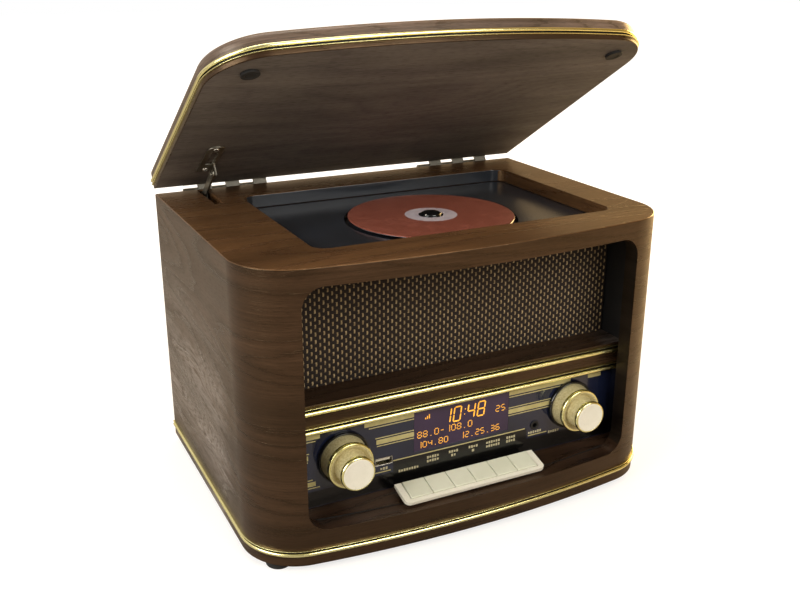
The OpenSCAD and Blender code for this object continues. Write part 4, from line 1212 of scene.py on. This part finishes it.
@dataclass
class Display:
    """A clock time in bars over two rows of numbers, as such a set shows at rest."""

    proud: float = 0.03  # how far the lit parts stand before the window
    thick: float = 0.025
    digit_w: float = 5.3
    digit_h: float = 10.6
    bar_t: float = 1.0
    lean: float = 0.12
    time_z: float = 66.4
    dot: float = 0.78  # a dot's share of its pitch
    shape: Shape = field(default_factory=Shape)

    def bar(self, foot: tuple[float, float], start: Sequence[float], end: Sequence[float]) -> None:
        """Adds one bar of a digit, with pointed ends.

        Args:
            foot: the digit's lower left corner.
            start: one end, from that corner.
            end: the other end.
        """
        a, b = Vector(start), Vector(end)
        d = (b - a).normalized()
        tip = d * self.bar_t / 2
        n = Vector((-tip.y, tip.x))
        a, b = a + tip * 0.3, b - tip * 0.3
        ring = [a, a + tip - n, b - tip - n, b, b - tip + n, a + tip + n]
        outline = [(foot[0] + q.x + self.lean * q.y, foot[1] + q.y) for q in ring]
        self.shape.plate(outline, PLAN.panel_y - self.proud, self.thick)

    def big(self, char: str, x: float) -> None:
        """Adds a digit or the colon of the time.

        Args:
            char: the digit, or ":".
            x: its left side.
        """
        foot, w, h = (x, self.time_z), self.digit_w, self.digit_h
        if char == ":":
            for z in (0.3 * h, 0.66 * h):
                self.bar(foot, (w * 0.3, z), (w * 0.3, z + self.bar_t * 1.3))
        for segment in Segment:
            lit, (x0, z0), (x1, z1) = segment.value
            if char in lit:
                self.bar(foot, (x0 * w, z0 * h / 2), (x1 * w, z1 * h / 2))

    def small(self, text: str, x: float, z: float, pitch: float = 0.73) -> None:
        """Adds a row of dot-matrix digits.

        Args:
            text: digits, points, dashes and spaces.
            x: left side of the first one.
            z: foot of the row.
            pitch: spacing of the dots.
        """
        extra = {"-": Segment.MIDDLE.dots(), ".": [(2, 0)], "0": [(0, 3), (4, 3)]}
        extra |= {"1": [(4, 0), (4, 3), (4, 6)], "4": [(4, 3)], "7": [(4, 3)], "9": [(4, 3)]}
        y, side = PLAN.panel_y - self.proud, pitch * self.dot
        for n, char in enumerate(text):
            dots = [dot for segment in Segment if char in segment.value[0] for dot in segment.dots()]
            for column, row in dots + extra.get(char, []):
                low = Vector((x + (n * 6 + column) * pitch, y, z + row * pitch))
                self.shape.box(low, low + Vector((side, self.thick, side)))

    def build(self) -> None:
        """Builds the time, the numbers and three bars of signal strength."""
        for x, char in zip((-15.3, -7.4, -0.4, 3.6, 11.6), "10:48"):
            self.big(char, x)
        self.small("88.0-108.0", -35.0, 59.6)
        self.small("104.80  12.25.36", -35.0, 51.9, 0.69)
        self.small("25", 26.6, 66.2)
        y = PLAN.panel_y - self.proud
        for k in range(3):
            x = -29 + k * 1.4
            self.shape.box((x, y, 73), (x + 0.7, y + self.thick, 74.2 + k))
        self.shape.piece("display_segments", [Finish.AMBER])


@dataclass
class ControlPanel:
    """Printed panel with its display, sockets and knob surrounds."""

    ink_t: float = 0.05  # the ink is thinner; this keeps it clear of the panel
    clear_r: float = 24.5  # the lines stop this far from a knob's axis
    half_w: float = 130.5
    window_half: float = 37.5
    band_z: float = 38.9  # foot of the black band above the keys; below it the panel is painted black as shade
    thin: float = 0.7  # thickness of the fine lines
    ring_in: float = 16.6  # inner radius of the knob surrounds

    def line(self, shape: Shape, x0: float, x1: float, z: float, thick: float) -> None:
        """Adds a printed line that stops short of the knobs.

        Args:
            shape: the mesh that gets it.
            x0: its left end.
            x1: its right end.
            z: its middle.
            thick: its height.
        """
        dz = abs(z - PLAN.knob_z)
        reach = math.sqrt(self.clear_r**2 - dz**2) if dz < self.clear_r else 0.0
        for knob in (-PLAN.knob_x, PLAN.knob_x) if reach else ():
            if x0 < knob < x1:
                self.line(shape, x0, knob - reach, z, thick)
                self.line(shape, knob + reach, x1, z, thick)
                return
            if knob < x0 < knob + reach:
                x0 = knob + reach
            if knob - reach < x1 < knob:
                x1 = knob - reach
        if x1 - x0 > 0.3:
            y = PLAN.panel_y
            shape.box((x0, y - self.ink_t, z - thick / 2), (x1, y - 0.001, z + thick / 2))

    def stripes(self) -> Shape:
        """The gold lines beside the display and above the keys, the black band that the marks lie on, and a
        black sheet below it that paints the shade along the panel's foot.
        """
        shape, y, thin = Shape(), PLAN.panel_y, self.thin
        for x0, x1 in ((-self.half_w, -self.window_half), (self.window_half, PLAN.knob_x)):
            for z, thick in ((78.4, 3.6), (75.2, thin), (66.9, thin), (63.9, 3.4), (60.9, thin)):
                self.line(shape, x0, x1, z, thick)
        self.line(shape, PLAN.knob_x + 8, self.half_w - 14, 78.4, 3.6)
        for z, thick in ((47.6, thin), (44.6, 3.2), (41.6, thin)):
            self.line(shape, -self.half_w, -101.0, z, thick)
        for x0, x1, z in ((-53.0, 52.0, 47.4), (55.0, 71.0, 41.0), (-72.0, -55.0, 41.0)):
            self.line(shape, x0, x1, z, 0.8)
        low, high = (FROM_FRAME @ Vector(corner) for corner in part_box("control_panel"))
        front, back = y - self.ink_t * 0.6, y - 0.001
        shape.box((-53, front, self.band_z), (53.5, back, 46.8), 1)
        # painted shade: black from the panel's foot up to the band, where the panel lies in shade
        shape.box((low.x + 0.5, front, low.z + 0.5), (high.x - 0.5, back, self.band_z), 1)
        return shape

    def marks(self) -> Shape:
        """Generic marks above the keys and beside the sockets: rows of small blocks and a square."""
        shape = Shape()
        y = PLAN.panel_y - self.ink_t - 0.01

        def block(x: float, z: float, w: float, h: float) -> None:
            """A small block about its middle."""
            shape.box((x - w / 2, y - self.ink_t, z - h / 2), (x + w / 2, y, z + h / 2))

        def row(x: float, z: float, count: int) -> None:
            """A row of small blocks of two heights."""
            for k in range(count):
                block(x + (k - (count - 1) / 2) * 1.95, z, 1.35, 1.95 if (k * 7 + count) % 3 else 1.5)

        for x, upper, lower in ((-22.8, 5, 5), (-6.6, 4, 2), (9.2, 4, 0), (25.4, 6, 6), (40.2, 4, 4)):
            row(x, 43.6, upper)
            row(x, 40.7, lower)
        block(9.2, 40.5, 1.9, 1.9)
        for x, z, count in ((-41.5, 38.4, 8), (-60.0, 43.4, 3), (60.5, 43.2, 6), (77.0, 40.2, 5)):
            row(x, z, count)
        return shape

    def tongue(self) -> Shape:
        """The insulating tongue in the data socket with its four contacts."""
        shape, y = Shape(), PLAN.panel_y
        shape.box((-65.2, y + 1.2, 49.0), (-54.8, y + 8.9, 50.5))
        for k in range(4):
            x = -63.6 + k * 2.4
            shape.box((x - 0.5, y + 1.4, 48.88), (x + 0.5, y + 8.0, 49.0), 1)
        return shape

    def surrounds(self) -> Shape:
        """The black rings that the knobs turn in."""
        a, b = self.ring_in, PLAN.ring_r
        profile = filleted([(a, 0), (b, 0), (b, 2.2), (b - 0.6, 3.0), (a + 0.6, 3.0), (a, 2.4)], 0.5, 3, True)
        shape = Shape()
        for s in (-1, 1):
            at = (s * PLAN.knob_x, PLAN.panel_y, PLAN.knob_z)
            shape.lathe(profile, at, Toward.FRONT, 128, closed=True)
        return shape

    def build(self) -> None:
        """Builds the panel and everything that is printed on it or let into it."""
        refine("control_panel", "printed", Finish.PANEL, 0.25)
        self.stripes().piece("panel_lines", [Finish.INK_GOLD, Finish.PANEL_BAND])
        self.marks().piece("panel_marks", [Finish.INK_PALE])
        refine("display_window", "tinted", Finish.WINDOW, 0.2)
        Display().build()
        self.surrounds().piece("knob_surrounds", [Finish.GLOSS_BLACK], "knob_rings")
        Shape.of_cad("usb_socket").soften(0.15).piece("data_socket_shell", [Finish.NICKEL], "usb_socket")
        self.tongue().piece("data_socket_tongue", [Finish.NYLON, Finish.GOLD])
        refine("headphone_socket", "moulded", Finish.BLACK_PLASTIC, 0.3, 3)
        dress(Finish.BLACK_PLASTIC, "display_module", "select_plunger")
        dress(Finish.ZINC, "encoders")


@dataclass
class KeyRow:
    """Ivory keys in their frame."""

    count: int = 6

    def build(self) -> None:
        """Builds the frame and the keys, each on its own body."""
        refine("key_frame", "moulded", Finish.IVORY, 0.8, 3)
        for i in range(1, self.count + 1):
            refine(f"key_{i}", "moulded", Finish.KEY_IVORY, 0.9, 4)


@dataclass
class DiscPlayer:
    """Deck, disc and hub, with the drive below."""

    disc_z: float = 190.3
    disc_t: float = 1.2
    disc_r: float = 60.0
    hole_r: float = 7.5
    bevel: float = 0.35
    hub_r: float = 14.5
    hub_z: float = 167.2  # lower end of the hub's shaft
    ball_r: float = 0.95

    def disc(self) -> Shape:
        """The disc: dark seat seen through the clear middle, pale ring, printed face and rim."""
        shape = Shape()
        top, rim, hole, bevel = self.disc_t, self.disc_r, self.hole_r, self.bevel
        bands: list[tuple[Profile, int]] = [
            ([(hole, top), (9.0, top)], 2),
            ([(9.0, top), (10.6, top), (10.9, top + 0.12), (11.5, top + 0.12), (11.8, top), (18.9, top)], 1),
            ([(18.9, top), (rim - bevel, top), (rim, top - bevel), (rim, bevel)], 0),
            ([(rim, bevel), (rim - bevel, 0), (hole, 0), (hole, top)], 1),
        ]
        for profile, slot in bands:
            shape.lathe(profile, (*DISC_CENTRE, self.disc_z), Toward.UP, 180, slot=slot)
        bmesh.ops.remove_doubles(shape.bm, verts=shape.bm.verts, dist=0.001)
        return shape

    def hub(self) -> Shape:
        """The hub: shaft, seat, dome and three spring balls that hold the disc."""
        shape, z, neck = Shape(), self.disc_z, self.hole_r - 0.1
        line: Profile = [(0, self.hub_z), (1, self.hub_z), (1, z - 3.5), (6, z - 3.5), (6, z - 2)]
        line += [(self.hub_r, z - 2), (self.hub_r, z), (neck, z), (neck, z + 1.6)]
        line += [((neck - 0.1) * math.cos(a), z + 1.9 + 2.1 * math.sin(a)) for a in (0.0, 0.3, 0.6, 0.9, 1.2)]
        line += [(1.9, z + 4.1), (1.5, z + 3.7), (0, z + 3.7)]
        shape.lathe(line, (*DISC_CENTRE, 0), Toward.UP, 96)
        r = self.ball_r
        ring = [(r * math.sin(a), -r * math.cos(a)) for a in (math.pi * i / 8 for i in range(9))]
        for k in range(3):
            a = math.radians(90 + 120 * k)
            at = (DISC_CENTRE[0] + 6.5 * math.cos(a), DISC_CENTRE[1] + 6.5 * math.sin(a), z + 2.0)
            shape.lathe(ring, at, Toward.UP, 16, slot=1)
        return shape

    def build(self) -> None:
        """Builds what shows in the well and dresses the drive."""
        refine("disc_deck", "moulded", Finish.DECK, 0.45, 3)
        finishes = [Finish.DISC_INK, Finish.CLEAR_RING, Finish.GLOSS_BLACK]
        self.disc().piece("disc_printed", finishes, "disc", 30)
        self.hub().piece("spindle_hub_moulded", [Finish.GLOSS_BLACK, Finish.NICKEL], "spindle_hub")
        dress(Finish.BLACK_PLASTIC, "drive_frame", "laser_sled")
        dress(Finish.ZINC, "drive_motors")
        dress(Finish.GROUND_STEEL, "sled_rods")
        dress(Finish.NYLON, "sled_pinion")


class Screw(Enum):
    """Head radius, head height and shank length of the screws."""

    HINGE = (2.6, 0.9, 8.0)
    STAY = (2.2, 0.7, 7.0)
    REAR = (2.8, 1.6, 8.0)

    def drive(self, shape: Shape, at: Sequence[float], toward: Toward) -> None:
        """Adds a screw with a cross in its head.

        Args:
            shape: the mesh that gets it.
            at: where the head sits.
            toward: direction in which the head points.
        """
        head, lift, length = self.value
        wall, cup = head * 0.95, head * 0.42
        line: Profile = [(0, -length), (1.1, -length + 1), (1.35, -length + 2), (1.35, 0), (head, 0)]
        line += [(head, lift * 0.35), (wall, lift * 0.7), (cup, lift), (cup * 0.9, lift * 0.35)]
        line.append((0, lift * 0.25))
        shape.lathe(line, at, toward, 24)
        d, base = toward.value, Vector(at)
        u, v = toward.across()
        for a in (math.pi / 4, 3 * math.pi / 4):
            side = u * math.cos(a) + v * math.sin(a)
            reach, broad = side * head * 0.6, d.cross(side) * head * 0.11
            ring = [base - reach - broad, base + reach - broad, base + reach + broad, base - reach + broad]
            shape.loft([[p + d * lift * k for p in ring] for k in (0.3, 0.93)], slot=1)


@dataclass
class HingesAndStay:
    """Two butt hinges with their pins, the lid's stay, and the screws of the lid and the rear."""

    hinge_x: float = 100.0
    hinge_len: float = 66.0
    leaf_y: float = 1.2  # face of the hinge leaves
    pin_r: float = 1.1
    margin: float = 5.0  # from a hinge's end to its outer screws
    stay_x: float = -123.75
    stay_ys: tuple[float, float] = (-75.4, -36.4)  # screws of the stay's bracket on the lid
    panel_x: float = 146.4
    panel_zs: tuple[float, float] = (22.0, 166.6)  # screws of the rear panel

    def pins(self) -> Shape:
        """The hinge pins, each as two halves with a bevelled end."""
        shape, half, r = Shape(), self.hinge_len / 2, self.pin_r
        tip: Profile = [(0.0, 0.0), (0.35, 0.0), (r - 0.05, -0.5), (r, -half)]
        for s in (-1, 1):
            for way, toward in ((-1, Toward.LEFT), (1, Toward.RIGHT)):
                end = (s * self.hinge_x + way * half, PLAN.hinge_y, PLAN.hinge_z)
                shape.lathe(tip, end, toward, 24)
        bmesh.ops.remove_doubles(shape.bm, verts=shape.bm.verts, dist=0.001)
        return shape

    def hinge_screws(self, shape: Shape, z: float) -> None:
        """Adds the six screws of one row of hinge leaves at that height."""
        step = self.hinge_len / 2 - self.margin
        for x in (s * self.hinge_x + k * step for s in (-1, 1) for k in (-1, 0, 1)):
            Screw.HINGE.drive(shape, (x, self.leaf_y, z), Toward.REAR)

    def build(self) -> None:
        """Builds the leaves, pins, screws and the parts of the stay."""
        leaves = ("hinge_cabinet_leaves", "hinge_lid_leaves")
        for node in (*leaves, "stay_bracket", "stay_pivot", "stay_guide", "stay_arm"):
            refine(node, "plated", Finish.HINGE_STEEL, 0.2, smooth=35)
        self.pins().piece("hinge_pins_turned", [Finish.HINGE_STEEL], "hinge_pins")
        finishes = [Finish.NICKEL, Finish.BLACK_PLASTIC]
        lid = Shape()
        self.hinge_screws(lid, PLAN.lid_z + 8)
        for y in self.stay_ys:
            Screw.STAY.drive(lid, (self.stay_x, y, PLAN.lid_z - 1), Toward.DOWN)
        lid.turn(PLAN.lid_pose()).piece("lid_screws_driven", finishes, "lid_screws")
        rear = Shape()
        self.hinge_screws(rear, PLAN.height - 7)
        for x in (-self.panel_x, self.panel_x):
            for z in self.panel_zs:
                Screw.REAR.drive(rear, (x, -2.0, z), Toward.REAR)
        rear.piece("rear_screws_driven", finishes, "rear_screws")


@dataclass
class Rear:
    """Rear panel with its sockets, and the feet."""

    foot_r: float = 9.0
    foot_out: float = 22.0  # from a corner's centre outwards, and from the rear face to the rear feet
    foot_front: float = 20.0  # from a front corner's centre forward to a front foot
    pin_r: float = 3.0
    pin_h: float = 6.0

    def feet(self) -> Shape:
        """Four rubber feet with a ring moulded into their soles."""
        shape, h, r, pin = Shape(), PLAN.foot_h, self.foot_r, self.pin_r
        line: Profile = [(0, -h + 0.9), (3.4, -h + 0.9), (4.0, -h), (r - 1.4, -h), (r - 0.4, -h + 1.0)]
        line += [(r, -0.6), (r, 0), (pin, 0), (pin, self.pin_h), (0, self.pin_h)]
        for x in (-1, 1):
            for y in (PLAN.corner_y - self.foot_front, -self.foot_out):
                at = (x * (PLAN.corner_x + self.foot_out), y, 0)
                shape.lathe(filleted(line, 0.5), at, Toward.UP, 64)
        return shape

    def build(self) -> None:
        """Builds the rear panel, the sockets in it and the feet."""
        refine("back_panel", "painted", Finish.HARDBOARD, 0.35)
        refine("mains_inlet", "moulded", Finish.BLACK_PLASTIC, 0.3)
        refine("aerial_socket", "turned", Finish.NICKEL, 0.25)
        self.feet().piece("feet_moulded", [Finish.RUBBER], "feet")


@dataclass
class Boards:
    """Circuit boards and transformer inside."""

    def build(self) -> None:
        """Dresses what is hidden inside the cabinet."""
        dress(Finish.CIRCUIT, "control_board", "key_board", "main_board")
        dress(Finish.CORE, "transformer")


# ---------- studio ----------


@dataclass
class Studio:
    """Camera at the photograph's angle, plain floor and soft light."""

    eye: tuple[float, float, float] = (-0.3034, -0.601129, 0.3742)
    yaw: float = -26.406
    rise: float = 19.854
    roll: float = 0.121
    lens: float = 43.32
    sensor: float = 36.0
    floor_half: float = 6.0
    aim_z: float = 0.15  # height that the lamps look at
    pale: str = "#a39d94"
    amber: str = "#e0b05e"  # warm card beside the object, seen only in its gloss

    def camera(self) -> None:
        """Makes the camera first."""
        data = bpy.data.cameras.new("camera")
        data.lens, data.sensor_width, data.sensor_fit = self.lens, self.sensor, "HORIZONTAL"
        data.clip_start, data.clip_end = 0.02, 50
        cam = bpy.data.objects.new("camera", data)
        bpy.context.scene.collection.objects.link(cam)
        bpy.context.scene.camera = cam
        a, e, r = (math.radians(x) for x in (self.yaw, self.rise, self.roll))
        back = Vector((math.sin(a) * math.cos(e), -math.cos(a) * math.cos(e), math.sin(e)))
        right = Vector((math.cos(a), math.sin(a), 0))
        up = back.cross(right)
        x_axis = right * math.cos(r) + up * math.sin(r)
        y_axis = up * math.cos(r) - right * math.sin(r)
        turn = Matrix((x_axis, y_axis, back)).transposed().to_4x4()
        cam.matrix_world = Matrix.Translation(self.eye) @ turn

    def floor(self) -> None:
        """A wide pale floor that keeps the object's shadow."""
        mesh = bpy.data.meshes.new("floor")
        h = self.floor_half
        mesh.from_pydata([(-h, -h, 0), (h, -h, 0), (h, h, 0), (-h, h, 0)], [], [(0, 1, 2, 3)])
        obj = bpy.data.objects.new("floor", mesh)
        bpy.context.scene.collection.objects.link(obj)
        mat, tree, shader = new_material("matt_paper_sweep")
        place = add_node(tree, "TexCoord").outputs["Object"]
        reach = add_node(tree, "VectorMath", {0: place}, operation="LENGTH").outputs["Value"]
        lift = add_node(tree, "MapRange", {0: reach, 1: 0.25, 2: 0.8, 3: 0.72, 4: 1.0})
        across = add_node(tree, "SeparateXYZ", {0: place})
        warm = add_node(tree, "MapRange", {0: across, 1: 0.05, 2: 0.45, 3: 0.0, 4: 0.8})
        rays = add_node(tree, "LightPath").outputs
        seen, mirrored = rays["Is Camera Ray"], rays["Is Glossy Ray"]
        white = add_node(tree, "Math", {0: lift, 1: seen}, operation="MULTIPLY")
        glow = add_node(tree, "Math", {0: warm, 1: mirrored, 2: white}, operation="MULTIPLY_ADD")
        tone = add_node(tree, "Mix", {0: mirrored}, data_type="RGBA")
        feed(tone, {"A": (1, 1, 1, 1), "B": linear(self.amber)})
        feed(shader, {"Base Color": linear(self.pale), "Roughness": 0.9})
        feed(shader, {"Emission Color": tone.outputs["Result"], "Emission Strength": glow})
        mesh.materials.append(mat)

    def lamp(
        self, name: str, place: Sequence[float], size: float, power: float, tint: str = "#fffdf8"
    ) -> None:
        """A soft square lamp that looks at the object.

        Args:
            name: its name.
            place: where it hangs, in metres.
            size: its side in metres.
            power: its power in watts.
            tint: its colour.
        """
        data = bpy.data.lights.new(name, "AREA")
        data.color = linear(tint)[:3]
        data.shape, data.size, data.energy = "SQUARE", size, power
        obj = bpy.data.objects.new(name, data)
        bpy.context.scene.collection.objects.link(obj)
        obj.location = place
        obj.rotation_mode = "QUATERNION"
        obj.rotation_quaternion = (Vector(place) - Vector((0, 0, self.aim_z))).to_track_quat("Z", "Y")

    def world(self) -> None:
        """White to the camera; to the object a bright room with a dim end in front of it."""
        world = bpy.data.worlds.new("studio")
        bpy.context.scene.world = world
        world.use_nodes = True
        tree = world.node_tree
        seen = add_node(tree, "LightPath").outputs["Is Camera Ray"]
        aim = add_node(tree, "TexCoord").outputs["Generated"]
        front = add_node(tree, "VectorMath", {0: aim, 1: (0.25, -1.0, 0.15)}, operation="DOT_PRODUCT")
        ends = {0: front.outputs["Value"], 1: -0.2, 2: 0.8, 3: 0.8, 4: 0.3}
        dim = add_node(tree, "MapRange", ends, interpolation_type="SMOOTHSTEP")
        across = add_node(tree, "SeparateXYZ", {0: aim})
        side = add_node(tree, "MapRange", {0: across, 1: -0.3, 2: 0.8})
        wall = add_node(tree, "ValToRGB", {0: side})
        set_ramp(wall, [(0.0, "#fff3e2"), (1.0, "#dcae62")])
        room = add_node(tree, "Background", {"Color": wall, "Strength": dim})
        white = add_node(tree, "Background", {"Color": (1, 1, 1, 1), "Strength": 1.0})
        mix = add_node(tree, "MixShader", {0: seen, 1: room, 2: white})
        feed(tree.nodes["World Output"], {"Surface": mix})

    def build(self) -> None:
        """Sets the floor, the lamps and the world."""
        self.floor()
        self.lamp("key_softbox", (0.5, -1.7, 1.3), 1.2, 29.0)
        self.lamp("fill_softbox", (-1.7, -0.4, 0.9), 1.2, 32.0)
        self.lamp("top_softbox", (0.0, 0.5, 1.9), 1.2, 14.0)
        self.lamp("rim_softbox", (1.5, 0.5, 0.35), 0.9, 26.0, "#ffd590")
        self.world()
        bpy.context.scene.view_settings.view_transform = "Standard"


def main() -> None:
    """Builds the scene piece by piece."""
    logging.basicConfig(level=logging.INFO, format="%(name)s: %(message)s")
    studio = Studio()
    studio.camera()
    for assembly in (
        WoodCase(),
        GoldTrim(),
        Lid(),
        SpeakerFront(),
        Recess(),
        ControlPanel(),
        Knob("volume", -1, 9.8),
        Knob("select", 1, 8.5),
        KeyRow(),
        DiscPlayer(),
        HingesAndStay(),
        Rear(),
        Boards(),
    ):
        LOG.info("building %s", type(assembly).__name__)
        assembly.build()
    studio.build()


if __name__ == "__main__":
    main()
